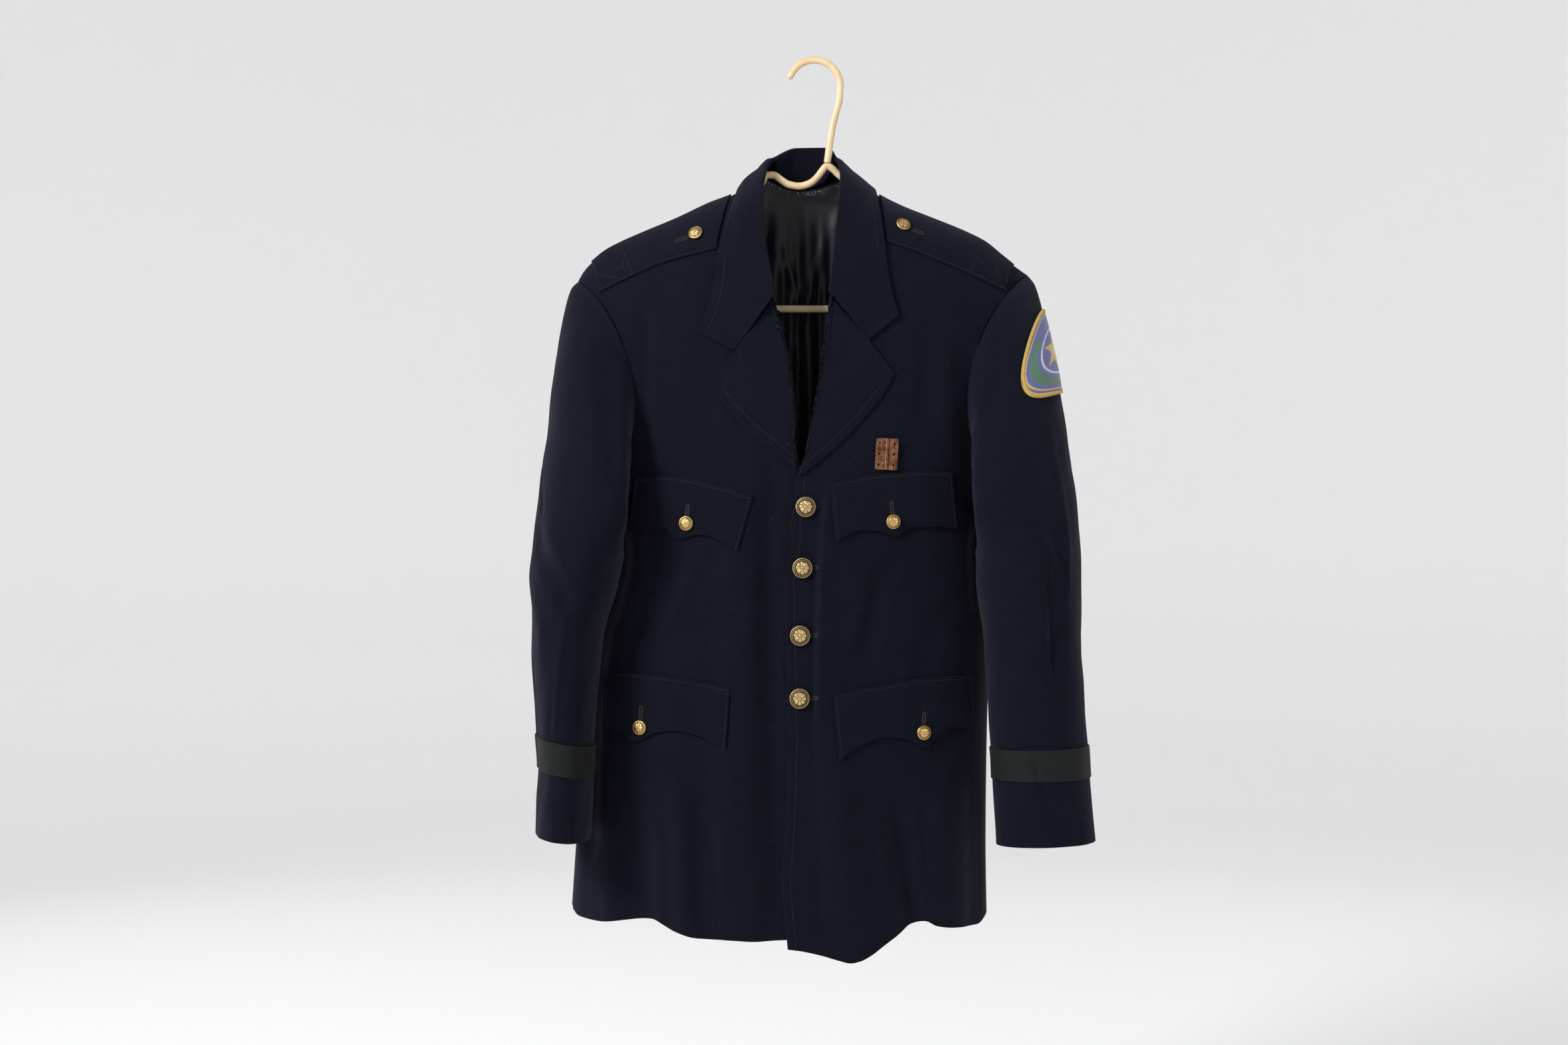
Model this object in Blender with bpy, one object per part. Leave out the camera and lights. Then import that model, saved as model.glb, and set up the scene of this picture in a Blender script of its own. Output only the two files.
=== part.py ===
"""A single-breasted dress coat that hangs on a tubular hanger.

Sizes are in millimetres, and MM turns them into metres. +X is to the right of a viewer who
faces the coat, -Y is towards that viewer and +Z is up. The origin is the inside of the
hook's bend, where the hanger rests on whatever holds it up. Right and left in the names are
the wearer's, so the wearer's right is at -X.
"""
import math

import bmesh
import bpy
import numpy as np
from mathutils import Vector
from mathutils.bvhtree import BVHTree

MM = 0.001

CLOTH = 2.0                 # wall of the coat's cloth with its interlining
SEAM = 0.4                  # gap left between two pieces at a seam
SIDE_Y = 8.0                # depth of the side and shoulder seams behind the hanger's plane
SHOULDER_ROLL = 90.0        # drop over which the shoulder rounds off to the chest
BOW = 2.2                   # how squarely the body's section bows from side to side

HANGER_TUBE = 8.0
HOOK_RADIUS = 29.0          # to the middle of the tube
HANGER_BAR_Z = -274.2

FRONT_BUTTON = 22.2         # 36-line button
SMALL_BUTTON = 15.9         # 24-line button
CUFF_BRAID_WALL = 1.2
FLAP_WALL = 2.2
EPAULETTE_WALL = 2.4
LAPEL_WALL = 2.2

ARMHOLE_ROWS = 10           # rows of a panel beside the armhole
SIDE_ROWS = 11              # rows of a panel below the armhole
SIDE_SPREAD = 1.3           # above 1, those rows lie closer together near the armhole
UNDERARM_Z = -478           # lowest point of the armhole
SLEEVE_COLUMNS = 2 * ARMHOLE_ROWS

NAVY = (0.012, 0.013, 0.028)
LINING = (0.006, 0.005, 0.008)
BRAID = (0.010, 0.012, 0.011)
GILT = (0.60, 0.42, 0.16)
ANTIQUE = (0.42, 0.30, 0.14)
COPPER = (0.28, 0.13, 0.07)
PATCH = (0.10, 0.10, 0.28)
TAN = (0.66, 0.50, 0.30)

# Level: height, the two sides of the body, and how far its front and back stand out.
BODY = [
    ("z", "right_side", "left_side", "front", "back"),
    (-990, -274, 194, -84, 31),
    (-865, -266, 192, -87, 31),
    (-760, -258, 193, -90, 31),
    (-640, -248, 197, -92, 31),
    (UNDERARM_Z, -232, 205, -90, 31),
    (-373, -256, 230, -84, 30),
    (-240, -278, 253, -62, 30),
    (-110, -284, 258, -48, 30),
]

# Top of the shoulders across the coat, under the epaulettes and the collar.
SHOULDER = [
    ("x", "z"),
    (-265.5, -243.5), (-258, -231), (-246, -218.5), (-231, -207), (-211, -197), (-191, -188.5),
    (-151, -172), (-118, -156.5), (-85, -143), (-60, -121), (-40, -111), (-10, -105),
    (18, -109), (38, -121), (67, -144), (97, -159.5), (125, -170.5), (163, -185.5),
    (189, -198), (207, -212), (225, -226), (240, -236.5),
]

# Hem of the whole coat, across its front, with the droop of each fold.
HEM_RIGHT = [
    ("x", "z"),
    (-272, -941), (-262, -948), (-241, -949.5), (-209, -946), (-179, -943), (-152, -955),
    (-126, -962), (-93, -963.5), (-59, -965), (-31, -964), (8, -963),
]
HEM_LEFT = [
    ("x", "z"),
    (-30, -973), (-16, -975), (7, -980), (27, -986), (38, -988.5), (49, -986.5), (61, -980.5),
    (74, -971), (94, -957), (104, -950.5), (120, -947), (133, -952.5), (150, -955),
    (180, -957), (193, -948),
]
HEM_BACK_Z = -947.0

# Neckline of the back.
NECK_X = -11.0
NECK_HALF = 48.0
NECK_TOP_Z = -121.0
NECK_DIP = 16.0

# Lining of the back: its reach across, at the neck and at its lower edge, and its folds.
LINING_TOP_X = (-56, 33)
LINING_LOW_X = (-100, 70)
LINING_LOW_Z = -520
LINING_GAP = 0.7
LINING_WALL = 1.0
LINING_FULLNESS = 3.0
LINING_WAVE = 17.0
LINING_SLANT = 0.35

# Edge of each front from the neck down: the roll of the lapel, then the buttoning edge.
EDGE_RIGHT = [
    ("z", "x"),
    (-963, 8), (-600, 8), (-520, 3), (-475, -11), (-446.4, -19.2), (-416.5, -18), (-379, -19.2),
    (-349, -23), (-324, -28), (-299, -34.3), (-264, -43), (-234, -49.2), (-211.6, -53),
    (-186.7, -55.4), (-161.8, -56.7), (-144, -56.5), (-117, -60),
]
EDGE_LEFT = [
    ("z", "x"),
    (-973, -30), (-927, -34.3), (-893.8, -36.7), (-882.6, -35.3), (-827, -31.7), (-753, -29.8),
    (-704, -30.5), (-630, -31.7), (-580.5, -33), (-548, -28.8), (-531, -25.6), (-511, -26.8),
    (-496.6, -23.1), (-466.6, -22.2), (-457.4, -17.5), (-434, -13.1), (-391.5, -5.6),
    (-354, 0.6), (-304, 6.9), (-264, 13.1), (-244, 16.9), (-204, 20.6), (-154, 25), (-135, 31),
    (-117, 38),
]
BREAK_RIGHT_Z = -450.0      # where the roll ends above the top button
BREAK_LEFT_Z = -457.4

# Folds: a ridge (+) or a hollow (-) along a line, with its half-width and its depth.
FOLDS_RIGHT = [
    ("x_top", "z_top", "x_bottom", "z_bottom", "half", "depth"),
    (-52, -425, -45, -1000, 20, -7),
    (-84, -440, -92, -1000, 30, 6),
    (-135, -515, -205, -680, 24, -6),
    (-158, -560, -212, -720, 22, 4),
    (-185, -255, -184, -470, 16, -5),
    (-120, -300, -124, -440, 24, -3),
    (-128, -700, -118, -1000, 26, -4),
    (-150, -760, -140, -1000, 24, 7),
    (-192, -780, -188, -1000, 26, -6),
    (-228, -800, -226, -1000, 22, 4),
]
FOLDS_LEFT = [
    ("x_top", "z_top", "x_bottom", "z_bottom", "half", "depth"),
    (165, -280, 168, -560, 16, -5),
    (118, -285, 120, -420, 18, -3),
    (140, -300, 146, -440, 18, 3),
    (80, -540, 44, -690, 22, -5),
    (128, -610, 100, -760, 22, -4),
    (20, -740, 38, -1010, 36, 11),
    (84, -800, 113, -1000, 22, -12),
    (140, -760, 152, -1010, 28, 8),
    (178, -760, 180, -1010, 18, -5),
]
FOLDS_BACK = [
    ("x_top", "z_top", "x_bottom", "z_bottom", "half", "depth"),
    (-30, -420, -36, -1010, 26, -5),
    (-110, -520, -140, -1010, 34, 5),
    (60, -520, 92, -1010, 34, 5),
    (-165, -230, -172, -520, 22, -4),
    (140, -230, 146, -520, 22, -4),
    (-40, -170, -120, -330, 26, 3),
    (20, -170, 92, -330, 26, 3),
]

# Fold that stands over the buttons, where the left front is pulled across.
PLEAT = [
    ("z", "x", "depth"),
    (-860, 8, 0), (-760, 3, 4), (-703, 0.5, 8), (-629, 1.4, 10), (-556, 3.8, 10), (-507, 7.6, 9),
    (-482, 11.3, 7), (-462, 14, 0),
]
PLEAT_FADE = 46.0
PLEAT_COLUMNS = (0, 0.06, 0.122, 0.163, 0.21, 0.265, 0.33, 0.40, 0.47, 0.54, 0.61, 0.68, 0.745,
                 0.805, 0.86, 0.91, 0.95, 0.98, 1)
UNDERLAP = 6.0              # how far the right front lies behind the left one

# Sleeves: one row for each ring, from the armhole to the cuff. Out and in are its outer and
# inner ends, y_mid its middle, front and back how far it reaches each way, and push how far
# the ring leans over the body.
SLEEVE_RIGHT = [
    ("s", "x_out", "z_out", "x_in", "z_in", "y_mid", "front", "back", "push"),
    (0.00, -265.5, -243.5, -232, UNDERARM_Z, 8, 70, 20, 50),
    (0.03, -272, -252, -233.2, -486.3, 2, 78.2, 24.2, 48),
    (0.10, -280, -290, -232.2, -497.3, -12, 82.2, 28.2, 46),
    (0.20, -287, -345, -227.2, -510.3, -32, 82.2, 34.2, 42),
    (0.31, -292, -410, -217.2, -527.3, -50, 80.2, 42.2, 34),
    (0.43, -300, -480, -208.2, -548.3, -62, 76.2, 50.2, 12),
    (0.55, -306.5, -555, -214.2, -580.3, -69, 71.2, 58.2, 0),
    (0.66, -306.5, -632, -229.2, -636.3, -72, 64.2, 60.2, 0),
    (0.75, -304.2, -690, -235.2, -694.3, -73, 62.2, 60.2, 0),
    (0.83, -300.7, -740, -239.2, -752.3, -73, 62.2, 60.2, 0),
    (0.885, -298.7, -775, -240.2, -785.3, -73, 62.2, 60.2, 0),
    (0.94, -301.2, -810, -241.2, -817.3, -73, 62.2, 60.2, 0),
    (1.00, -301.7, -847, -242.2, -854.3, -73, 62.2, 60.2, 0),
]
SLEEVE_LEFT = [
    ("s", "x_out", "z_out", "x_in", "z_in", "y_mid", "front", "back", "push"),
    (0.00, 240, -236.5, 205, UNDERARM_Z, 8, 70, 20, -54),
    (0.03, 247, -248, 206, -486, 2, 78, 24, -52),
    (0.10, 256, -288, 205, -497, -12, 82, 28, -50),
    (0.20, 266, -345, 199, -510, -32, 82, 34, -48),
    (0.31, 274, -410, 187, -527, -50, 80, 42, -38),
    (0.43, 282, -480, 174, -548, -62, 76, 50, -12),
    (0.55, 287, -555, 174, -580, -69, 70, 56, 0),
    (0.66, 287, -632, 181.5, -636, -72, 60, 54, 0),
    (0.75, 289.5, -690, 185.5, -694, -73, 54, 50, 0),
    (0.845, 294, -753, 189.5, -756, -73, 48, 45, 0),
    (0.90, 296, -787, 191.5, -789, -73, 45, 43, 0),
    (0.95, 299, -821, 193.5, -823, -73, 42, 41, 0),
    (1.00, 302.5, -857, 195.5, -861, -73, 39, 39, 0),
]
BRAID_RINGS = {"right": (0.83, 0.885), "left": (0.845, 0.90)}
SLEEVE_RINGS = {
    "right": (0, 0.05, 0.10, 0.15, 0.21, 0.28, 0.35, 0.43, 0.51, 0.59, 0.67, 0.75, 0.83, 0.885, 0.94, 1),
    "left": (0, 0.05, 0.10, 0.15, 0.21, 0.28, 0.35, 0.43, 0.51, 0.59, 0.67, 0.75, 0.845, 0.90, 0.95, 1),
}
FRONT_SEAM_COLUMN = 10      # column of the sleeve's front seam, at the underarm
BACK_SEAM_COLUMN = 16
SLEEVE_SKEW = 0.5           # how much more the sleeve's front leans over the body low down
SLEEVE_TUCK = 0.85          # how much less its back does there
BACK_LEAN = 0.55            # share of a ring's lean that its back has
SWING = 0.28                # ring by which a sleeve has swung forward, clear of the body
SWING_TURN = 80.0           # degrees by which its underarm has turned to the back by then
UNDERARM_ANGLES = (70, 180, 200, 330)   # degrees: the run starts, is full, falls and ends
UNDERARM_ROOM = 1.2         # extra gap of the seams of its under piece, at the armhole
SEAM_REACH = 0.2            # ring by which a sleeve has left the body's surface
SKEW_REACH = 0.12           # ring by which its skew is full
LEAN_POWER = 1.5
SEAM_SIDEWAYS = 0.25        # how far the walls' direction at the armhole leans sideways
OWN_WALL = 0.3              # disagreement with it at which a sleeve keeps its own direction
SLEEVE_ROOM = 3.5           # room between a hanging sleeve and the side behind it

# Sleeve folds: a dent (-) or ridge (+) across the sleeve from one angle and ring to another.
SLEEVE_FOLDS_RIGHT = [
    ("angle_1", "s_1", "angle_2", "s_2", "half", "depth"),
    (30, 0.50, 95, 0.60, 0.05, -5),
    (10, 0.56, 60, 0.66, 0.05, 3),
    (70, 0.06, 100, 0.30, 0.06, -4),
]
SLEEVE_FOLDS_LEFT = [
    ("angle_1", "s_1", "angle_2", "s_2", "half", "depth"),
    (62, 0.46, 70, 0.72, 0.05, -5),
    (78, 0.08, 100, 0.30, 0.06, -3),
]

# Collar: the crease, from the right gorge round the back of the neck to the left gorge.
CREASE = [
    ("x", "y", "z"),
    (-43, -81, -264), (-49.2, -74, -234), (-53, -67, -211.6), (-55.4, -58, -186.7),
    (-56.5, -44, -160), (-52, -24, -133), (-46, -4, -108), (-37, 12, -97), (-22, 23, -89.5),
    (1, 27, -88.5), (18, 22, -89.5), (22.5, 9, -98), (24, -5, -110), (25, -18, -126),
    (24.5, -34, -148), (23, -52, -178), (20.6, -64, -204), (16.9, -74, -244), (14.8, -80, -262),
]
# Collar's outer edge as it lies on the coat, and the side of the coat that it lies on.
COLLAR_EDGE = [
    ("x", "z", "side"),
    (-126.6, -306, "front"), (-116.6, -279, "front"), (-110.4, -254, "front"),
    (-106.6, -221, "front"), (-101, -197, "front"), (-95, -173, "front"), (-88, -152, "front"),
    (-83.5, -136.5, "top"), (-72, -146, "back"), (-38, -154, "back"), (-8, -156, "back"),
    (24, -154, "back"), (56, -147, "back"), (66, -138.5, "top"), (69, -152, "front"),
    (72, -172, "front"), (75, -197, "front"), (77.5, -224, "front"), (82, -254, "front"),
    (90.5, -288, "front"),
]
# Lower edge of the stand, at the neck seam, and how far forward its ends reach.
STAND_LOW = [
    ("x", "y", "z"),
    (-47, 9, -112), (-42, 16, -120), (-31, 24, -131), (-11, 28, -136.5), (10, 25, -130),
    (21, 16, -117), (24.5, 9, -110),
]
STAND_ENDS_Y = 8.0
STAND_DROP = 2.4            # of its upper edge below the crease
STAND_INSET = (4.8, 3.3)    # of its inner face from the fall, at its upper and its lower edge
STAND_MIDDLE = np.array([-11.0, -20.0, -112.0])
NOTCH_RIGHT = (-88, -328)
NOTCH_LEFT = (58, -315.5)
COLLAR_LIFT = 6.3           # how far the outside of the fall stands off the coat
COLLAR_REACH = 22.0         # how near the coat a point of the fall must be for that
COLLAR_BULGE = 7.0
NECK_MIDDLE = (-12.0, -6.0, -150.0)
NOTCH_FADE = 9              # rows of the fall over which its end blends into its middle

# Lapels: the tip, then the lower edge down to the break.
LAPEL_RIGHT = [("x", "z"), (-113, -364), (-96.6, -386.4), (-71.7, -414), (-46.7, -434), (-22.5, -453)]
LAPEL_LEFT = [("x", "z"), (86, -351.6), (78.1, -366.5), (58, -394), (33.1, -421.5), (8.1, -444), (-12, -460.5)]
GORGE_RIGHT = (-43, -266)
GORGE_LEFT = (14.6, -263)
GORGE_GAP = 1.8             # between the lapel and the collar
LAPEL_INSET = 0.6           # of the roll from the front's edge
LAPEL_END_WIDTH = 4.0
LAPEL_BULGE = 2.4
LAPEL_LIFT = 0.6

# Pocket flaps: top edge from its inner to its outer end, then the scalloped lower edge.
FLAPS = {
    "chest_flap_right": (
        [("x", "z"), (-67.5, -484.9), (-104, -474), (-160, -463.2), (-195.5, -464.5)],
        [("x", "z"), (-83, -543), (-104, -531), (-125.7, -526.2), (-146.1, -530), (-163, -518.5),
         (-180, -516.8), (-203, -522.6)]),
    "chest_flap_left": (
        [("x", "z"), (14.5, -472), (64.7, -462), (123.4, -457.9), (147.9, -458.2)],
        [("x", "z"), (20.5, -533), (49.4, -521.5), (68, -522.5), (84.5, -528.5), (101, -518),
         (127.2, -516.6), (153.1, -519.5)]),
    "hip_flap_right": (
        [("x", "z"), (-91, -690.2), (-144.2, -681.9), (-197.7, -676.5), (-232, -678.5)],
        [("x", "z"), (-95.5, -755), (-123.6, -743), (-151.1, -737.2), (-173, -740.5),
         (-195, -750.5), (-214, -739.5), (-228, -736.1)]),
    "hip_flap_left": (
        [("x", "z"), (17.8, -696.8), (76.1, -687.4), (128, -681), (172, -680.5)],
        [("x", "z"), (24.4, -767.5), (50, -751), (70.2, -743.7), (95, -746), (117.6, -756.6),
         (134, -740), (150.3, -735.1), (175, -739)]),
}
FLAP_LIFT = 1.3             # how much further a flap's lower edge stands off than its seam
SEAT = 0.75                 # least gap under a piece that is sewn down on another
SEAT_SHARES = np.linspace(0, 1, 7)       # where each face of such a piece is tested

# Buttons: place on the coat, diameter, and what carries each.
BUTTONS = [
    ("name", "x", "z", "diameter", "on"),
    ("front_button_1", -10.7, -496.4, FRONT_BUTTON, "front_left"),
    ("front_button_2", -14.4, -561.8, FRONT_BUTTON, "front_left"),
    ("front_button_3", -16.9, -634.2, FRONT_BUTTON, "front_left"),
    ("front_button_4", -17.5, -701.5, FRONT_BUTTON, "front_left"),
    ("pocket_button_1", -139.2, -513.9, SMALL_BUTTON, "chest_flap_right"),
    ("pocket_button_2", 82.9, -512.2, SMALL_BUTTON, "chest_flap_left"),
    ("pocket_button_3", -189.7, -735.1, SMALL_BUTTON, "hip_flap_right"),
    ("pocket_button_4", 116.5, -740.1, SMALL_BUTTON, "hip_flap_left"),
    ("epaulette_button_right", -130.5, -196.5, SMALL_BUTTON, "epaulette_right"),
    ("epaulette_button_left", 96.2, -186.8, SMALL_BUTTON, "epaulette_left"),
]
BUTTON_GAP = 0.5

# Epaulettes: front edge from under the collar to the armhole seam.
EPAULETTE_RIGHT = [("x", "z"), (-107.5, -215.5), (-127.5, -220), (-167.8, -230.4), (-200.5, -244), (-236, -260)]
EPAULETTE_LEFT = [("x", "z"), (78.5, -208), (96.7, -213.5), (149.6, -234.1), (192.4, -251.8), (208, -258.5)]
EPAULETTE_TOP = {"right": (-92, -248), "left": (71, 222)}   # reach of its back edge along the shoulder
EPAULETTE_BACK_DROP = 3.0

PATCH_CENTRE_S = 0.162
PATCH_HALF_S = 0.082        # share of the sleeve's rings that half its height takes
PATCH_HALF_ANGLE = 53.0
PATCH_MIDDLE_ANGLE = 8.0
PATCH_LIFTS = (4.9, 3.7)    # its outer and its inner face above the sleeve's facets
PLATE_SIZE = (24.0, 34.0)
PLATE_CENTRE = (76.4, -439.5)
PLATE_TILT = math.radians(3.0)


def column(table, name):
    """One named column of a table whose first row holds the names."""
    place = table[0].index(name)
    return [row[place] for row in table[1:]]


def smooth(keys, values, at):
    """Values between the rows of a table, on a smooth curve that never overshoots them."""
    keys = np.asarray(keys, float)
    values = np.asarray(values, float)
    if keys[0] > keys[-1]:
        keys, values = keys[::-1], values[::-1]
    step = np.diff(keys)
    rise = np.diff(values) / step
    slope = np.zeros_like(values)
    same = rise[:-1] * rise[1:] > 0
    both = np.where(same, rise[:-1] + rise[1:], 1.0)
    slope[1:-1] = np.where(same, 2 * rise[:-1] * rise[1:] / both, 0.0)
    slope[0], slope[-1] = rise[0], rise[-1]
    at = np.clip(np.asarray(at, float), keys[0], keys[-1])
    i = np.clip(np.searchsorted(keys, at, side="right") - 1, 0, len(step) - 1)
    t = (at - keys[i]) / step[i]
    return ((2 * t**3 - 3 * t**2 + 1) * values[i] + (t**3 - 2 * t**2 + t) * step[i] * slope[i]
            + (3 * t**2 - 2 * t**3) * values[i + 1] + (t**3 - t**2) * step[i] * slope[i + 1])


def path(points, count):
    """Points evenly spread along a smooth curve through the given ones."""
    points = np.asarray(points, float)
    run = np.concatenate([[0], np.cumsum(np.linalg.norm(np.diff(points, axis=0), axis=1))])
    at = np.linspace(0, run[-1], count)
    return np.stack([smooth(run, points[:, k], at) for k in range(points.shape[1])], axis=1)


def ease(t):
    """0 below 0, 1 above 1 and a soft step between."""
    t = np.clip(t, 0, 1)
    return t * t * (3 - 2 * t)


def unit(vectors):
    return vectors / np.maximum(np.linalg.norm(vectors, axis=-1, keepdims=True), 1e-9)


def fold_height(folds, x, z):
    """How far the folds of a panel stand out at each place."""
    height = np.zeros_like(x)
    for x1, z1, x2, z2, half, depth in folds[1:]:
        run = np.array([x2 - x1, z2 - z1], float)
        length = np.hypot(*run)
        run /= length
        along = ((x - x1) * run[0] + (z - z1) * run[1]) / length
        across = np.abs((x - x1) * run[1] - (z - z1) * run[0])
        ends = ease(along / 0.3) * ease((1 - along) / 0.3)
        height += depth * ends * np.cos(np.clip(across / half, 0, 1) * math.pi / 2) ** 2
    return height


def shoulder_z(x):
    return smooth(column(SHOULDER, "x"), column(SHOULDER, "z"), x)


def section(x, z):
    """How fully the body is bowed at a place: 0 on its outline and 1 in its middle."""
    sides = [smooth(column(BODY, "z"), column(BODY, name), z) for name in ("right_side", "left_side")]
    across = np.clip(np.abs(2 * x - sides[0] - sides[1]) / (sides[1] - sides[0]), 0, 1)
    drop = np.clip((shoulder_z(x) - z) / SHOULDER_ROLL, 0, 1)
    return (1 - across**BOW) ** (1 / BOW) * np.sqrt(1 - (1 - drop) ** 2)


def back_y(x, z):
    """Outer surface of the back."""
    full = section(x, z)
    stand = smooth(column(BODY, "z"), column(BODY, "back"), z) - SIDE_Y
    return SIDE_Y + full * stand + fold_height(FOLDS_BACK, x, z) * np.clip(3 * full - 0.6, 0, 1)


def front_y(x, z, folds=None):
    """Outer surface of a front, with the folds of that front."""
    full = section(x, z)
    stand = SIDE_Y - smooth(column(BODY, "z"), column(BODY, "front"), z)
    y = SIDE_Y - full * stand
    if folds is not None:
        y = y - fold_height(folds, x, z) * np.clip(3 * full - 0.6, 0, 1)
    return y


def right_front_y(x, z):
    under = ease((x + 72) / 30) * ease((-425 - z) / 30)
    return front_y(x, z, FOLDS_RIGHT) + UNDERLAP * under


def left_front_y(x, z):
    edge = smooth(column(PLEAT, "z"), column(PLEAT, "x"), z)
    depth = smooth(column(PLEAT, "z"), column(PLEAT, "depth"), z)
    stand = depth * ease((x - edge + 5) / 10) * np.exp(-np.maximum(x - edge, 0) / PLEAT_FADE)
    return front_y(x, z, FOLDS_LEFT) - stand


def armhole(sleeve, angle):
    """Ring where a sleeve meets the body, on the body's own surface."""
    first = dict(zip(sleeve[0], sleeve[1]))
    c, q = np.cos(angle), np.sin(angle)
    lean = np.abs(q) ** LEAN_POWER * np.where(q > 0, 1, BACK_LEAN)
    x = (first["x_out"] + first["x_in"]) / 2 + c * (first["x_out"] - first["x_in"]) / 2 + lean * first["push"]
    z = (first["z_out"] + first["z_in"]) / 2 + c * (first["z_out"] - first["z_in"]) / 2
    y = np.where(q > 1e-6, front_y(x, z), np.where(q < -1e-6, back_y(x, z), SIDE_Y))
    return np.stack([x, y, z], axis=-1)


def under_share(angle):
    """How much of the underarm's run a place has: 1 under the arm, 0 on the sleeve's outside."""
    degrees = np.degrees(angle) % 360
    start, full, falling, end = UNDERARM_ANGLES
    return ease((degrees - start) / (full - start)) * ease((end - degrees) / (end - falling))


def sleeve_ring(sleeve, s, angle):
    """A sleeve's surface without its folds, as the rings of the table give it."""
    ring = {name: smooth(column(sleeve, "s"), column(sleeve, name), s) for name in sleeve[0][1:]}
    c, q = np.cos(angle), np.sin(angle)
    skew = np.where(q > 0, -SLEEVE_SKEW, SLEEVE_TUCK) * ease(s / SKEW_REACH) * c
    lean = np.abs(q) ** LEAN_POWER * np.where(q > 0, 1, BACK_LEAN) * (1 + skew)
    x = (ring["x_out"] + ring["x_in"]) / 2 + c * (ring["x_out"] - ring["x_in"]) / 2 + lean * ring["push"]
    z = (ring["z_out"] + ring["z_in"]) / 2 + c * (ring["z_out"] - ring["z_in"]) / 2
    y = ring["y_mid"] - np.where(q > 0, ring["front"], ring["back"]) * q
    first = dict(zip(sleeve[0], sleeve[1]))
    flat_y = first["y_mid"] - np.where(q > 0, first["front"], first["back"]) * q
    y = y + (armhole(sleeve, angle)[..., 1] - flat_y) * ease(1 - s / SEAM_REACH)
    return np.stack([x, y, z], axis=-1)


def sleeve_surface(sleeve, folds, s, angle):
    """Outer surface of a sleeve: s runs from armhole to cuff, angle round it from its outer
    side, over its front, to its inner side. Under the arm it runs straight, and turns."""
    s, angle = np.broadcast_arrays(np.asarray(s, float), np.asarray(angle, float))
    share = under_share(angle)
    turn = np.radians(SWING_TURN) * share
    way = np.clip(s / SWING, 0, 1)
    swung = sleeve_ring(sleeve, SWING + 0 * s, angle + turn)
    straight = armhole(sleeve, angle) * (1 - way)[..., None] + swung * way[..., None]
    early = (share * (s < SWING))[..., None]
    angle = angle + turn * ease(way)
    points = sleeve_ring(sleeve, s, angle) * (1 - early) + straight * early
    middle = sleeve_ring(sleeve, s, 0 * s) / 2 + sleeve_ring(sleeve, s, 0 * s + math.pi) / 2
    degrees = np.degrees(angle) % 360
    inward = unit((middle - points) * [1, 1, 0])
    for a1, s1, a2, s2, half, depth in folds[1:]:
        run = np.array([(a2 - a1) / 360, s2 - s1])
        length = np.hypot(*run)
        run = run / length
        from_start = [(degrees - a1) / 360, s - s1]
        along = (from_start[0] * run[0] + from_start[1] * run[1]) / length
        across = np.abs(from_start[0] * run[1] - from_start[1] * run[0])
        ends = ease((along + 0.15) / 0.3) * ease((1.15 - along) / 0.3)
        height = depth * ends * np.cos(np.clip(across / half, 0, 1) * math.pi / 2) ** 2
        points = points - inward * height[..., None]
    return points


def grid_normals(points, outward, round_u=False):
    """Unit normals of a grid of points, turned to the side that outward gives."""
    if round_u:
        du = np.roll(points, -1, axis=1) - np.roll(points, 1, axis=1)
    else:
        du = np.gradient(points, axis=1)
    dv = np.gradient(points, axis=0)
    normals = unit(np.cross(du, dv))
    return normals if np.sum(normals * outward) > 0 else -normals


def outward(sleeve):
    """1 for the sleeve at +X and -1 for the other."""
    return np.sign(sleeve[1][1])


def seam_normal(sleeve, angle):
    """Direction in which both walls at the armhole get their thickness, so they can't cross."""
    ring = armhole(sleeve, angle)
    step = 0.02
    along = armhole(sleeve, angle + step) - armhole(sleeve, angle - step)
    middle = armhole(sleeve, np.array([0, math.pi / 2, math.pi, -math.pi / 2])).mean(axis=0)
    radial = ring - middle
    radial = unit(radial - unit(along) * np.sum(radial * unit(along), axis=-1, keepdims=True))
    q = np.sin(angle)
    c = np.cos(angle)
    under = (1 - SEAM_SIDEWAYS) * (c < -0.5) * np.abs(c)
    body = np.stack([outward(sleeve) * (SEAM_SIDEWAYS + under), -q, np.maximum(c, 0)], axis=-1)
    return unit(radial + unit(body))


def finish(name, colour, roughness, metallic=0.0):
    material = bpy.data.materials.new(name)
    material.use_nodes = True
    shader = material.node_tree.nodes["Principled BSDF"]
    shader.inputs["Base Color"].default_value = (*colour, 1)
    shader.inputs["Roughness"].default_value = roughness
    shader.inputs["Metallic"].default_value = metallic
    return material


def add(name, points, faces, colour, roughness=0.9, metallic=0.0):
    """A named object from points in millimetres and faces."""
    mesh = bpy.data.meshes.new(name)
    mesh.from_pydata([tuple(point * MM) for point in np.asarray(points, float)], [], faces)
    work = bmesh.new()
    work.from_mesh(mesh)
    bmesh.ops.recalc_face_normals(work, faces=work.faces)
    work.to_mesh(mesh)
    work.free()
    mesh.shade_smooth()
    mesh.set_sharp_from_angle(angle=math.radians(40))
    mesh.materials.append(finish(name, colour, roughness, metallic))
    piece = bpy.data.objects.new(name, mesh)
    bpy.context.scene.collection.objects.link(piece)
    return piece


def grid_faces(rows, columns, start, round_u=False):
    """Triangles of a grid whose points are stored row by row from the index start."""
    faces = []
    for r in range(rows - 1):
        for c in range(columns if round_u else columns - 1):
            upper, lower = start + r * columns, start + (r + 1) * columns
            after = (c + 1) % columns
            faces.append((upper + c, upper + after, lower + after))
            faces.append((upper + c, lower + after, lower + c))
    return faces


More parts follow.
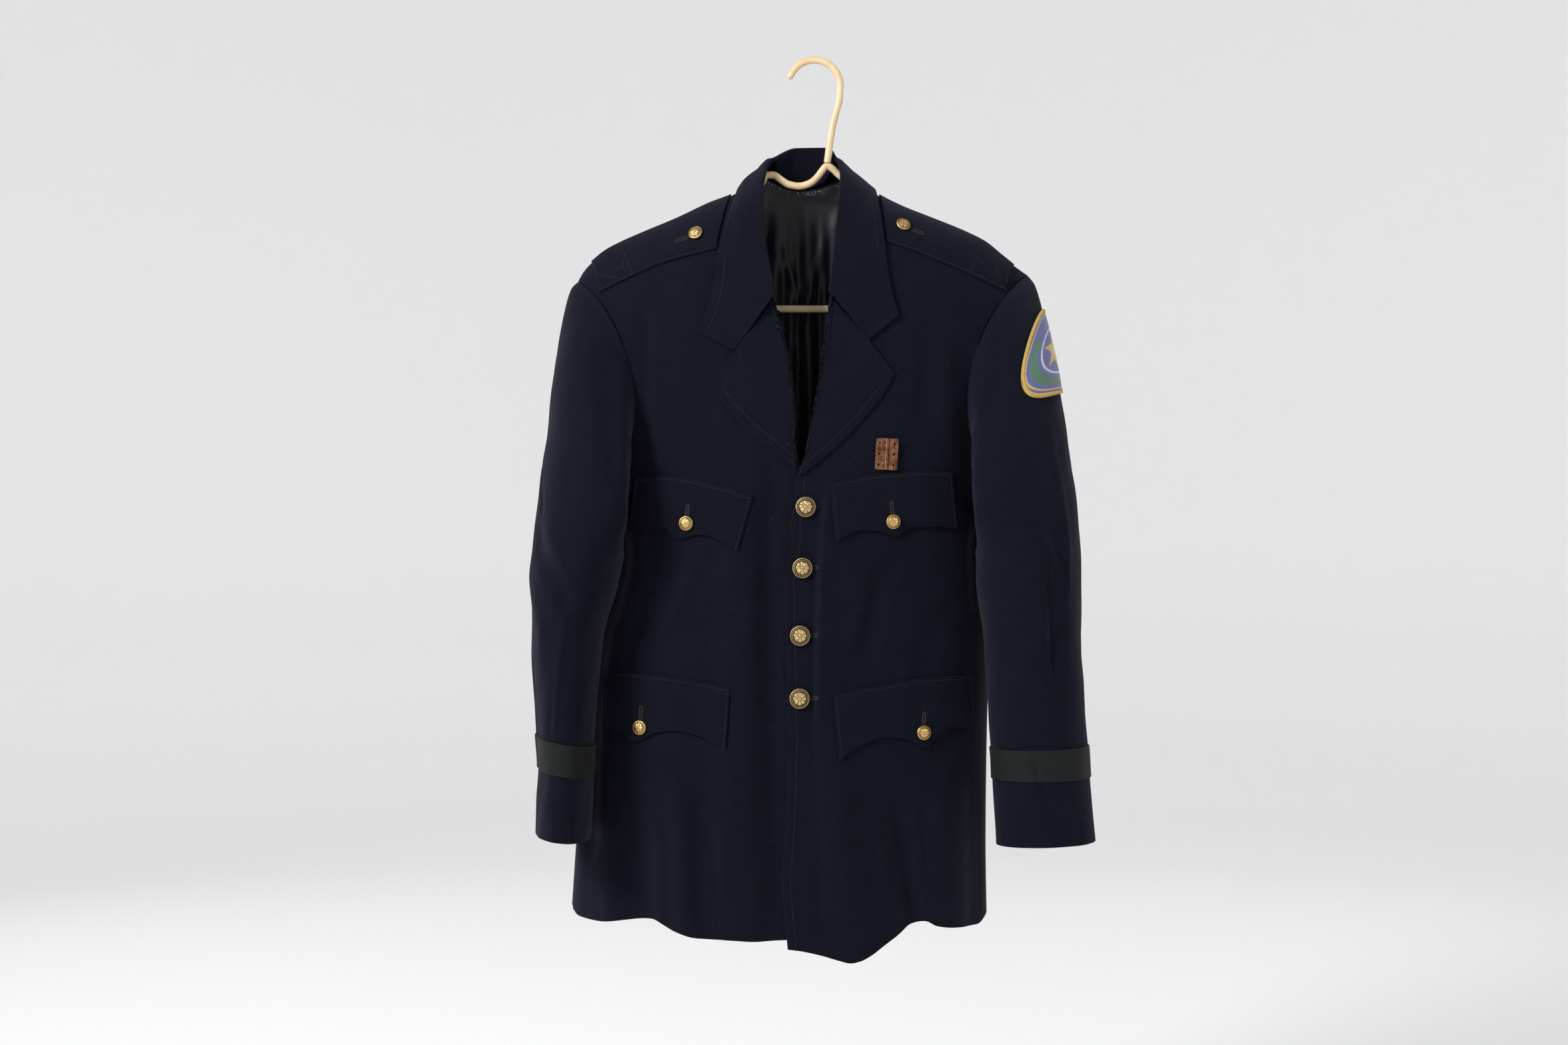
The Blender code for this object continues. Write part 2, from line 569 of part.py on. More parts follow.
def wall(outer, inner, round_u=False):
    """Points and faces of the closed wall between two grids of the same size."""
    rows, columns = outer.shape[:2]
    count = rows * columns
    points = np.concatenate([outer.reshape(-1, 3), inner.reshape(-1, 3)])
    faces = grid_faces(rows, columns, 0, round_u)
    faces += [face[::-1] for face in grid_faces(rows, columns, count, round_u)]
    top = list(range(columns))
    bottom = [(rows - 1) * columns + c for c in range(columns)]
    if round_u:
        rims = [top + top[:1], (bottom + bottom[:1])[::-1]]
    else:
        right = [r * columns + columns - 1 for r in range(rows)]
        left = [r * columns for r in range(rows)]
        rims = [top + right[1:] + bottom[::-1][1:] + left[::-1][1:]]
    for rim in rims:
        faces += [(b, a, a + count, b + count) for a, b in zip(rim, rim[1:])]
    return points, faces


def surface_tree(grid, facing):
    """Search tree of a panel's outer surface, whose normals point out of the coat."""
    rows, columns = grid.shape[:2]
    faces = grid_faces(rows, columns, 0)
    points = [Vector(p) for p in grid.reshape(-1, 3)]
    middle = faces[len(faces) // 2]
    normal = (points[middle[1]] - points[middle[0]]).cross(points[middle[2]] - points[middle[0]])
    if normal.y * facing < 0:
        faces = [face[::-1] for face in faces]
    return BVHTree.FromPolygons(points, faces)


def push_clear(points, trees, clearance):
    """Lifts points that lie under or too near the nearest of some surfaces off it."""
    for i in np.ndindex(points.shape[:-1]):
        near, normal, _, gap = min((tree.find_nearest(Vector(points[i])) for tree in trees),
                                   key=lambda found: found[3])
        above = (Vector(points[i]) - near).dot(normal)
        if gap < COLLAR_REACH and above < clearance:
            points[i] += np.array(normal) * (clearance - above)


def seat(outer, inner, tree, gap):
    """Moves a piece along its own mean normal until it is just clear of what it lies on."""
    way = unit((outer - inner).mean(axis=(0, 1)))
    rows, columns = inner.shape[:2]
    closest = 1e9
    for r, c in np.ndindex(rows - 1, columns - 1):
        for v in SEAT_SHARES:
            for u in SEAT_SHARES:
                upper = inner[r, c] * (1 - u) + inner[r, c + 1] * u
                lower = inner[r + 1, c] * (1 - u) + inner[r + 1, c + 1] * u
                point = Vector(upper * (1 - v) + lower * v)
                near, normal = tree.find_nearest(point)[:2]
                closest = min(closest, (point - near).dot(normal))
    return outer + way * (gap - closest), inner + way * (gap - closest)


def on_surface(tree, x, z, from_y=-400.0):
    """Where a line along Y meets a surface, seen from the front (or from behind)."""
    x, z = np.broadcast_arrays(np.asarray(x, float), np.asarray(z, float))
    places = np.zeros(x.shape + (3,))
    normals = np.zeros(x.shape + (3,))
    way = Vector((0, -math.copysign(1, from_y), 0))
    for i in np.ndindex(x.shape):
        hit, normal = tree.ray_cast(Vector((x[i], from_y, z[i])), way)[:2]
        if hit is None:
            hit, normal = tree.find_nearest(Vector((x[i], 0, z[i])))[:2]
        places[i] = hit
        normals[i] = normal if normal.y * way.y < 0 else -normal
    return places, normals


def coons(inner, outer, top, bottom):
    """Grid between four edges. Inner and outer run down, top and bottom run outwards."""
    v = np.linspace(0, 1, len(inner))[:, None, None]
    u = np.linspace(0, 1, len(top))[None, :, None]
    sides = (1 - u) * inner[:, None] + u * outer[:, None]
    ends = (1 - v) * top[None] + v * bottom[None]
    corners = ((1 - u) * (1 - v) * inner[0] + u * (1 - v) * outer[0]
               + (1 - u) * v * inner[-1] + u * v * outer[-1])
    return sides + ends - corners


def spread(count, dense_end):
    """Shares from 0 to 1 that crowd together at the far end, where the cloth turns the side."""
    t = np.linspace(0, 1, count)
    return (1 - dense_end) * t + dense_end * np.sin(t * math.pi / 2)


def armhole_angles():
    return np.linspace(0, math.pi, ARMHOLE_ROWS + 1)


def side_line(side):
    """Side seam from the underarm to the hem, as x and z."""
    table = column(BODY, "right_side" if side == "right" else "left_side")
    z = UNDERARM_Z + (HEM_BACK_Z - UNDERARM_Z) * np.linspace(0, 1, SIDE_ROWS + 1) ** SIDE_SPREAD
    return np.stack([smooth(column(BODY, "z"), table, z), z], axis=1)


def front_outline(side, columns):
    """The four edges of a front in the plane of the photo."""
    right = side == "right"
    edge, hem = (EDGE_RIGHT, HEM_RIGHT) if right else (EDGE_LEFT, HEM_LEFT)
    sleeve = SLEEVE_RIGHT if right else SLEEVE_LEFT
    break_z = BREAK_RIGHT_Z if right else BREAK_LEFT_Z
    turn = (1 - np.cos(armhole_angles())) / 2
    inner_z = np.concatenate([NECK_TOP_Z + (break_z - NECK_TOP_Z) * turn,
                              np.linspace(break_z, column(edge, "z")[0], SIDE_ROWS + 1)[1:]])
    inner = np.stack([smooth(column(edge, "z"), column(edge, "x"), inner_z), inner_z], axis=1)
    ring = armhole(sleeve, armhole_angles())[:, [0, 2]]
    seam = side_line(side)
    hem_x = column(hem, "x")
    hem_side = hem_x[0] if right else hem_x[-1]
    hem_z = column(hem, "z")[0] if right else column(hem, "z")[-1]
    seam[:, 0] += (hem_side - seam[-1, 0]) * np.linspace(0, 1, len(seam)) ** 4
    seam[:, 1] += (hem_z - seam[-1, 1]) * np.linspace(0, 1, len(seam))
    outer = np.concatenate([ring, seam[1:]])
    share = spread(columns, 0.6) if right else np.array(PLEAT_COLUMNS)
    top_x = inner[0, 0] + (outer[0, 0] - inner[0, 0]) * share
    top = np.stack([top_x, shoulder_z(top_x)], axis=1)
    top[0] = inner[0]
    bottom_x = inner[-1, 0] + (outer[-1, 0] - inner[-1, 0]) * share
    bottom = np.stack([bottom_x, smooth(hem_x, column(hem, "z"), bottom_x)], axis=1)
    inner[-1] = bottom[0]
    return inner, outer, top, bottom


def panel(flat, surface, facing, sleeves, hanging=None):
    """Outer and inner grid of a panel from its grid in the plane of the photo.

    sleeves gives the sleeve at an end of its rows, and hanging the surface of a sleeve that
    lies against the body's side."""
    outer = np.stack([flat[..., 0], surface(flat[..., 0], flat[..., 1]), flat[..., 1]], axis=-1)
    if hanging:
        clear_of_sleeve(outer, hanging)
    seam_y = SIDE_Y + facing * SEAM / 2
    angles = -facing * armhole_angles()
    on_shoulder = np.abs(flat[0, :, 1] - shoulder_z(flat[0, :, 0])) < 0.01
    outer[0, on_shoulder, 1] = seam_y
    for place, sleeve in sleeves.items():
        outer[:ARMHOLE_ROWS + 1, place] = armhole(sleeve, angles)
        outer[:ARMHOLE_ROWS + 1, place, 0] -= outward(sleeve) * SEAM
        outer[ARMHOLE_ROWS:, place, 1] = seam_y
        outer[0, place, 1] = seam_y
    normals = grid_normals(outer, np.array([0.0, facing, 0.0]))
    normals[0, on_shoulder] = (0, 0, 1)
    for place, sleeve in sleeves.items():
        normals[:ARMHOLE_ROWS + 1, place] = seam_normal(sleeve, angles)
        normals[ARMHOLE_ROWS + 1:, place] = (outward(sleeve), 0, 0)
    return outer, outer - normals * CLOTH


def clear_of_sleeve(outer, hanging):
    """Presses a front's side in behind the sleeve that hangs against it."""
    for r in range(ARMHOLE_ROWS - 1, outer.shape[0]):
        for c in range(1, outer.shape[1] - 1):
            for dx in (-7, 0, 7):
                for dz in (-12, 0, 12):
                    start = Vector((outer[r, c, 0] + dx, 200, outer[r, c, 2] + dz))
                    hit = hanging.ray_cast(start, Vector((0, -1, 0)))[0]
                    if hit is not None:
                        behind = min(hit.y + SLEEVE_ROOM, SIDE_Y - CLOTH - 1)
                        outer[r, c, 1] = max(outer[r, c, 1], behind)


def make_sleeve(side, sleeve, folds):
    """Top sleeve, under sleeve and braid, and the surface that the body's side clears."""
    rings = np.array(SLEEVE_RINGS[side])[:, None]
    angles = np.linspace(0, 2 * math.pi, SLEEVE_COLUMNS, endpoint=False)[None]
    outer = sleeve_surface(sleeve, folds, rings, angles)
    middle = outer.mean(axis=1, keepdims=True)
    normals = grid_normals(outer, outer - middle, round_u=True)
    seam = seam_normal(sleeve, angles[0])
    agree = ease(1 + np.sum(normals[0] * seam, axis=-1, keepdims=True) / OWN_WALL)
    normals[0] = unit(seam * agree + normals[0] * (1 - agree))
    inner = outer - normals * CLOTH
    room = UNDERARM_ROOM * ease(1 - rings / SWING)
    for part, first, last in (("top", BACK_SEAM_COLUMN - SLEEVE_COLUMNS, FRONT_SEAM_COLUMN),
                              ("under", FRONT_SEAM_COLUMN, BACK_SEAM_COLUMN)):
        take = [c % SLEEVE_COLUMNS for c in range(first, last + 1)]
        shells = []
        for shell in (outer[:, take].copy(), inner[:, take].copy()):
            shell[:, 0] += unit(shell[:, 1] - shell[:, 0]) * SEAM / 2
            shell[:, -1] += unit(shell[:, -2] - shell[:, -1]) * (SEAM / 2 + room)
            shells.append(shell)
        add(f"{part}_sleeve_{side}", *wall(*shells), NAVY)
    rows = [SLEEVE_RINGS[side].index(s) for s in BRAID_RINGS[side]]
    band = [outer[rows] + normals[rows] * lift for lift in (SEAM + CUFF_BRAID_WALL, SEAM)]
    add(f"cuff_braid_{side}", *wall(*band, round_u=True), BRAID)
    points = [Vector(p) for p in outer.reshape(-1, 3)]
    return BVHTree.FromPolygons(points, grid_faces(len(outer), SLEEVE_COLUMNS, 0, True))


def make_front(side, columns, surface, sleeve, hanging):
    flat = coons(*front_outline(side, columns))
    outer, inner = panel(flat, surface, -1, {columns - 1: sleeve}, hanging)
    add(f"front_{side}", *wall(outer, inner), NAVY)
    return surface_tree(outer, -1)


def back_neckline(x):
    """Seam between the back and the collar, a round dip between the shoulders."""
    dip = np.clip(1 - ((x - NECK_X) / NECK_HALF) ** 2, 0, 1)
    return np.where(dip > 0, NECK_TOP_Z - NECK_DIP * dip, shoulder_z(x))


def make_back(columns):
    """Back from shoulder to shoulder, with the neckline between."""
    rings = [armhole(sleeve, -armhole_angles())[:, [0, 2]] for sleeve in (SLEEVE_RIGHT, SLEEVE_LEFT)]
    right_edge = np.concatenate([rings[0], side_line("right")[1:]])
    left_edge = np.concatenate([rings[1], side_line("left")[1:]])
    even = np.linspace(0, 1, columns)
    share = (even + (1 - np.cos(even * math.pi)) / 2) / 2
    top_x = right_edge[0, 0] + (left_edge[0, 0] - right_edge[0, 0]) * share
    top = np.stack([top_x, back_neckline(top_x)], axis=1)
    bottom_x = right_edge[-1, 0] + (left_edge[-1, 0] - right_edge[-1, 0]) * share
    bottom = np.stack([bottom_x, np.full(columns, HEM_BACK_Z)], axis=1)
    flat = coons(right_edge, left_edge, top, bottom)
    outer, inner = panel(flat, back_y, 1, {0: SLEEVE_RIGHT, columns - 1: SLEEVE_LEFT})
    add("back", *wall(outer, inner), NAVY)
    return surface_tree(outer, 1), surface_tree(inner, 1)


def make_lining(tree):
    """Lining of the back, where it shows inside the neck, in soft hanging folds."""
    columns, rows = 12, 10
    top_x = np.linspace(*LINING_TOP_X, columns)[None]
    low_x = np.linspace(*LINING_LOW_X, columns)[None]
    v = np.linspace(0, 1, rows)[:, None]
    x = top_x * (1 - v) + low_x * v
    z = (back_neckline(np.clip(top_x, NECK_X - NECK_HALF + 1, NECK_X + NECK_HALF - 1)) - 2.5) * (1 - v)
    z = z + LINING_LOW_Z * v
    places, _ = on_surface(tree, x, z, from_y=-200)
    wave = (1 + np.sin((x + LINING_SLANT * z) / LINING_WAVE)) / 2
    places[..., 1] -= LINING_GAP + LINING_FULLNESS * np.sin(v * math.pi) * wave
    add("back_lining", *wall(places - (0, LINING_WALL, 0), places), LINING, 0.45)


def lay(tree, flat, gap, thickness):
    """A piece that lies on a surface: its outer and inner grid, moved out from that surface."""
    places, normals = on_surface(tree, flat[..., 0], flat[..., 1])
    gap = np.broadcast_to(gap, flat.shape[:2])[..., None]
    return places + normals * (gap + thickness), places + normals * gap


def make_flap(name, tree, top, bottom):
    columns, rows = 15, 5
    top_line = path(top[1:], columns)
    share = np.linspace(0, 1, columns)
    low = np.asarray(bottom[1:], float)
    reach = (low[:, 0] - low[0, 0]) / (low[-1, 0] - low[0, 0])
    low_x = low[0, 0] + (low[-1, 0] - low[0, 0]) * share
    low_line = np.stack([low_x, smooth(reach, low[:, 1], share)], axis=1)
    v = np.linspace(0, 1, rows)[:, None, None]
    flat = top_line[None] * (1 - v) + low_line[None] * v
    outer, inner = seat(*lay(tree, flat, FLAP_LIFT * v[..., 0], FLAP_WALL), tree, SEAT)
    add(name, *wall(outer, inner), NAVY)
    return surface_tree(outer, -1)


def make_lapel(side, tree):
    right = side == "right"
    edge = EDGE_RIGHT if right else EDGE_LEFT
    low = LAPEL_RIGHT if right else LAPEL_LEFT
    gorge = GORGE_RIGHT if right else GORGE_LEFT
    notch = NOTCH_RIGHT if right else NOTCH_LEFT
    outwards = -1 if right else 1
    rows, gorge_columns, notch_columns = 9, 5, 3
    roll_z = np.linspace(gorge[1], low[-1][1], rows)
    roll = np.stack([smooth(column(edge, "z"), column(edge, "x"), roll_z), roll_z], axis=1)
    lower = path(low[1:], rows)
    lower[-1] = roll[-1] + np.array([outwards * LAPEL_END_WIDTH, -0.5])
    to_notch = np.linspace(roll[0], notch, gorge_columns)
    to_tip = np.linspace(notch, low[1], notch_columns + 1)[1:]
    top = np.concatenate([to_notch, to_tip])
    bottom = np.linspace(roll[-1], lower[-1], len(top))
    flat = coons(roll, lower, top, bottom)
    flat[0, :, 1] -= GORGE_GAP
    flat[:, 0, 0] += outwards * LAPEL_INSET
    u = np.linspace(0, 1, len(top))[None]
    lift = LAPEL_BULGE * np.sin(u * math.pi) + LAPEL_LIFT * u + 0 * roll[:, :1]
    outer, inner = seat(*lay(tree, flat, lift, LAPEL_WALL), tree, SEAT)
    add(f"lapel_{side}", *wall(outer, inner), NAVY)


def collar_edge(trees):
    """Outer edge of the fall, laid on the coat."""
    edge = []
    for x, z, side in COLLAR_EDGE[1:]:
        if side == "front":
            y = on_surface(trees["right" if x < 0 else "left"], x, z)[0][1] - COLLAR_LIFT
        elif side == "back":
            y = float(back_y(np.array(x, float), np.array(z, float))) + COLLAR_LIFT
        else:
            y = SIDE_Y
        edge.append((x, y, z))
    return edge


def make_collar(trees):
    """Fall, from its crease out over the coat, with its square ends at the notches."""
    count, across, knee = 37, 6, 4
    crease = path(CREASE[1:], count)
    edge = path(collar_edge(trees), count)
    share = np.linspace(0, 1, across + 1)[None, :, None]
    fall = crease[:, None] * (1 - share) + edge[:, None] * share
    out = unit(fall.mean(axis=1) - NECK_MIDDLE)
    out[:, 2] = np.abs(out[:, 2]) * 0.6
    fall += out[:, None] * COLLAR_BULGE * np.sin(share * math.pi)
    for end, step, notch, tree in ((0, 1, NOTCH_RIGHT, trees["right"]), (-1, -1, NOTCH_LEFT, trees["left"])):
        corner = np.array([notch[0], on_surface(tree, *notch)[0][1] - COLLAR_LIFT, notch[1]])
        gorge = np.linspace(crease[end], corner, knee + 1)
        short = np.linspace(corner, edge[end], across + 1 - knee)[1:]
        move = (np.concatenate([gorge, short]) - fall[end]) * (1, 0, 1)
        for row in range(NOTCH_FADE):
            fall[end + step * row] += move * (1 - row / NOTCH_FADE) ** 1.5
    push_clear(fall, [trees["right"], trees["left"], trees["back"]], COLLAR_LIFT - 1)
    normals = grid_normals(fall, fall.mean(axis=1, keepdims=True) - NECK_MIDDLE + 0 * fall)
    add("collar_fall", *wall(fall, fall - normals * CLOTH), NAVY)
    return crease


def make_stand(crease):
    """Stand inside the back of the neck, from under the crease to the neck seam."""
    top = crease[crease[:, 1] > STAND_ENDS_Y] - (0, 0, STAND_DROP)
    low = path(STAND_LOW[1:], len(top))
    v = np.linspace(0, 1, 4)[:, None, None]
    grid = top[None] * (1 - v) + low[None] * v
    inwards = unit((STAND_MIDDLE - grid) * (1, 1, 0))
    grid += inwards * (STAND_INSET[0] * (1 - v) + STAND_INSET[1] * v)
    normals = grid_normals(grid, STAND_MIDDLE - grid)
    add("collar_stand", *wall(grid, grid - normals * CLOTH), NAVY)


def make_epaulette(side, tree):
    right = side == "right"
    front = EPAULETTE_RIGHT if right else EPAULETTE_LEFT
    columns, rows = 13, 6
    low = path(front[1:], columns)
    top_x = np.linspace(*EPAULETTE_TOP[side], columns)
    top = np.stack([top_x, shoulder_z(top_x) - EPAULETTE_BACK_DROP], axis=1)
    grid = []
    for v in np.linspace(0, 1, rows):
        x = top[:, 0] * (1 - v) + low[:, 0] * v
        first = np.arccos(1 - EPAULETTE_BACK_DROP / SHOULDER_ROLL)
        last = np.arccos(1 - np.clip((shoulder_z(low[:, 0]) - low[:, 1]) / SHOULDER_ROLL, 0, 1))
        drop = SHOULDER_ROLL * (1 - np.cos(first * (1 - v) + last * v))
        grid.append(np.stack([x, shoulder_z(x) - drop], axis=1))
    outer, inner = seat(*lay(tree, np.array(grid), 0.0, EPAULETTE_WALL), tree, SEAT)
    add(f"epaulette_{side}", *wall(outer, inner), NAVY)
    return surface_tree(outer, -1)


def make_button(name, tree, x, z, diameter):
    """Domed shank button: back plate, rolled rim and dome, turned round its own axis."""
    half = diameter / 2
    rim = np.linspace(0, 2 * math.pi, 12, endpoint=False)
    around, normals = on_surface(tree, x + half * np.cos(rim), z + half * np.sin(rim))
    place, _ = on_surface(tree, x, z)
    normal = unit(normals.mean(axis=0))
    place = place + normal * max(0, ((around - place) @ normal).max())
    profile = [(0, 0), (0.62, 0), (0.97, 0.16), (1.0, 0.24), (0.93, 0.34), (0.70, 0.45), (0.38, 0.54), (0, 0.58)]
    turns = 16
    up = Vector(normal)
    side = up.cross(Vector((0, 0, 1))).normalized()
    other = up.cross(side)
    points = []
    for radius, height in profile[1:-1]:
        for k in range(turns):
            angle = 2 * math.pi * k / turns
            away = side * math.cos(angle) + other * math.sin(angle)
            points.append(Vector(place) + away * radius * half + up * (height * half + BUTTON_GAP))
    rings = len(profile) - 2
    faces = grid_faces(rings, turns, 0, True)
    points.append(Vector(place) + up * BUTTON_GAP)
    points.append(Vector(place) + up * (profile[-1][1] * half + BUTTON_GAP))
    for k in range(turns):
        faces.append((k, len(points) - 2, (k + 1) % turns))
        top = (rings - 1) * turns
        faces.append((top + k, top + (k + 1) % turns, len(points) - 1))
    large = diameter > SMALL_BUTTON
    add(name, points, faces, ANTIQUE if large else GILT, 0.35, 1.0)


def make_patch(outer_tree):
    """Shoulder patch, a rounded shield on the outer side of the left sleeve."""
    rings, turns = 5, 24
    grid = []
    for r in range(1, rings + 1):
        row = []
        for k in range(turns):
            angle = 2 * math.pi * k / turns
            across = math.sin(angle) * (1 + 0.06 * math.cos(2 * angle))
            down = -math.cos(angle)
            row.append((across * r / rings, down * r / rings))
        grid.append(row)
    flat = np.array(grid)
    s = PATCH_CENTRE_S + flat[..., 1] * PATCH_HALF_S
    angle = np.radians(PATCH_MIDDLE_ANGLE + flat[..., 0] * PATCH_HALF_ANGLE)
    places = sleeve_surface(SLEEVE_LEFT, SLEEVE_FOLDS_LEFT, s, angle)
    centre = sleeve_surface(SLEEVE_LEFT, SLEEVE_FOLDS_LEFT, PATCH_CENTRE_S,
                            math.radians(PATCH_MIDDLE_ANGLE))
    normals = np.zeros_like(places)
    for i in np.ndindex(places.shape[:2]):
        hit, normal = outer_tree.find_nearest(Vector(places[i]))[:2]
        places[i] = hit
        normals[i] = normal if normal.x > 0 else -normal
    hit, normal = outer_tree.find_nearest(Vector(centre))[:2]
    centre_normal = np.array(normal if normal.x > 0 else -normal)
    centre = np.array(hit)
    shells = [np.concatenate([[centre + centre_normal * lift], (places + normals * lift).reshape(-1, 3)])
              for lift in PATCH_LIFTS]
    count = len(shells[0])
    faces = []
    for offset, flip in ((0, 1), (count, -1)):
        for k in range(turns):
            faces.append((offset, offset + 1 + k, offset + 1 + (k + 1) % turns)[::flip])
        faces += [face[::flip] for face in grid_faces(rings, turns, offset + 1, True)]
    rim = 1 + (rings - 1) * turns
    for k in range(turns):
        a, b = rim + k, rim + (k + 1) % turns
        faces.append((a, b, b + count, a + count))
    add("shoulder_patch", np.concatenate(shells), faces, PATCH)


def make_plate(tree):
    """Thin badge plate with a tube down its middle, pressed from one sheet."""
    half_x, half_z = PLATE_SIZE[0] / 2, PLATE_SIZE[1] / 2
    rib = 2.4
    section_line = [(-half_x, 0), (half_x, 0), (half_x, -1), (rib, -1)]
    section_line += [(rib * math.cos(a), -1 - 2.2 * math.sin(a)) for a in np.linspace(0.4, math.pi - 0.4, 4)]
    section_line += [(-rib, -1), (-half_x, -1)]
    seat, _ = on_surface(tree, np.linspace(-half_x, half_x, 5) + PLATE_CENTRE[0], PLATE_CENTRE[1])
    seat_y = seat[:, 1].min() - 1.0
    points = []
    for end in (half_z, -half_z):
        for x, y in section_line:
            turned_x = x * math.cos(PLATE_TILT) + end * math.sin(PLATE_TILT)
            turned_z = end * math.cos(PLATE_TILT) - x * math.sin(PLATE_TILT)
            points.append((PLATE_CENTRE[0] + turned_x, seat_y + y, PLATE_CENTRE[1] + turned_z))
    count = len(section_line)
    faces = [tuple(range(count)), tuple(range(2 * count - 1, count - 1, -1))]
    faces += [(k, (k + 1) % count, (k + 1) % count + count, k + count) for k in range(count)]
    add("badge_plate", points, faces, COPPER, 0.45, 1.0)


def tube(name, line, sides=8, round_end=False):
    """Round tube in the hanger's plane along a line of x and z."""
    line = np.asarray(line, float)
    along = unit(np.gradient(line, axis=0))
    across = np.stack([-along[:, 1], along[:, 0]], axis=1)
    radius = np.full(len(line), HANGER_TUBE / 2)
    if round_end:
        radius[0] *= 0.45
        radius[1] *= 0.88
    points = []
    for middle, out, r in zip(line, across, radius):
        for k in range(sides):
            angle = 2 * math.pi * (k + 0.5) / sides
            x, z = middle + out * r * math.cos(angle)
            points.append((x, r * math.sin(angle), z))
    faces = grid_faces(len(line), sides, 0, True)
    faces.append(tuple(range(sides)))
    faces.append(tuple(range(len(points) - 1, len(points) - 1 - sides, -1)))
    add(name, points, faces, TAN, 0.5)


def make_hanger():
    """Open hook with its neck, then the arms with their dip, and the bar between their ends."""
    centre = (0.0, -(HOOK_RADIUS - HANGER_TUBE / 2))
    arc = [(centre[0] + HOOK_RADIUS * math.cos(a), centre[1] + HOOK_RADIUS * math.sin(a))
           for a in np.radians(np.linspace(156, -8, 15))]
    tip = [(-30, -16)]
    neck = [(28, -40), (24.5, -53), (20.5, -70), (17.5, -88), (14.3, -110.9)]
    tube("hanger_hook", tip + arc + neck, round_end=True)
    arms = [(-214, -252), (-219, -238), (-217, -222), (-205, -208), (-185, -198), (-151, -182.3),
            (-118, -168.4), (-90, -156.2), (-72, -146), (-60, -135), (-53, -124.5), (-46, -124.5),
            (-38, -129.5), (-29, -135), (-17, -137), (-5.5, -134), (3.2, -127), (9, -119.5),
            (14, -114.5), (19.5, -117), (27, -124), (40, -134.5), (60, -153), (80, -163.5), (97, -171.2),
            (125, -181.2), (160, -195), (178, -205), (190, -218), (193, -234), (188, -250)]
    tube("hanger_arms", path(arms, 56))
    bar = [(-213.8, -252.5), (-208, -266), (-200, -273), (-190, HANGER_BAR_Z), (-120, HANGER_BAR_Z),
           (100, HANGER_BAR_Z), (165, HANGER_BAR_Z), (175, -273), (183.5, -265), (187.8, -250.5)]
    tube("hanger_bar", bar)


for old in list(bpy.data.objects):
    bpy.data.objects.remove(old, do_unlink=True)

hanging_sleeves = {
    "right": make_sleeve("right", SLEEVE_RIGHT, SLEEVE_FOLDS_RIGHT),
    "left": make_sleeve("left", SLEEVE_LEFT, SLEEVE_FOLDS_LEFT),
}
front_trees = {
    "right": make_front("right", 17, right_front_y, SLEEVE_RIGHT, hanging_sleeves["right"]),
    "left": make_front("left", len(PLEAT_COLUMNS), left_front_y, SLEEVE_LEFT, hanging_sleeves["left"]),
}
back_tree, inside_back = make_back(21)
make_lining(inside_back)
carriers = {"front_left": front_trees["left"], "front_right": front_trees["right"]}
for flap, (top_edge, low_edge) in FLAPS.items():
    carriers[flap] = make_flap(flap, front_trees["right" if flap.endswith("right") else "left"],
                               top_edge, low_edge)
for lapel_side in ("right", "left"):
    make_lapel(lapel_side, front_trees[lapel_side])
    carriers[f"epaulette_{lapel_side}"] = make_epaulette(lapel_side, front_trees[lapel_side])
collar_crease = make_collar({**front_trees, "back": back_tree})
make_stand(collar_crease)
for button, button_x, button_z, button_size, carrier in BUTTONS[1:]:
    make_button(button, carriers[carrier], button_x, button_z, button_size)
make_patch(hanging_sleeves["left"])
make_plate(front_trees["left"])
make_hanger()
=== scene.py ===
"""Looks of a police dress coat on its hanger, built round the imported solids.

Sizes are in millimetres until a mesh is made, where MM turns them into metres. +X is to the
right of a viewer who faces the coat, -Y is towards that viewer, and +Z is up. Right and left
in the names are the wearer's, so the wearer's right is at -X.
"""
import math

import bpy
import numpy as np
from mathutils import Matrix, Vector
from mathutils.bvhtree import BVHTree
from mathutils.geometry import delaunay_2d_cdt
from mathutils.kdtree import KDTree


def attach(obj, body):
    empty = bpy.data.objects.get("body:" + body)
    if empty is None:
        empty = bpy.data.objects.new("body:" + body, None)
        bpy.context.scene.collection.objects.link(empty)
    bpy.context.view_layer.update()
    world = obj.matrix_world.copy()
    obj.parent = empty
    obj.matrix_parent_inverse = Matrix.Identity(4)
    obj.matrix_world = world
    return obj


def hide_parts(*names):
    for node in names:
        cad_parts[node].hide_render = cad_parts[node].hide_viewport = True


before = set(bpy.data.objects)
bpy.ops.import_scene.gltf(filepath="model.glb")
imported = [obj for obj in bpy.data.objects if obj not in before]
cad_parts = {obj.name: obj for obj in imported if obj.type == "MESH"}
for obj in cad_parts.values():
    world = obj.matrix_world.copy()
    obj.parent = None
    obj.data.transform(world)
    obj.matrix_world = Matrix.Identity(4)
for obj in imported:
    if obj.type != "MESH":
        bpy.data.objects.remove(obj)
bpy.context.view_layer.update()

# ---------------------------------------------------------------------------------------------
# Stage: a wide round cove of pale plaster that is floor and backdrop in one, large soft lamps,
# and a camera level with the middle of the coat.
MM = 0.001
CAMERA_AT = (-0.034, -2.25, -0.513)
SENSOR_WIDTH = 36.0
LENS = 46.2
COVE_PROFILE = [(0.0, -1.42), (3.3, -1.42), (3.75, -1.38), (4.15, -1.2), (4.45, -0.9), (4.6, -0.4),
                (4.6, 1.2), (4.6, 3.4)]
COVE_TURNS = 96
COVE_COLOUR = (0.92, 0.92, 0.925)
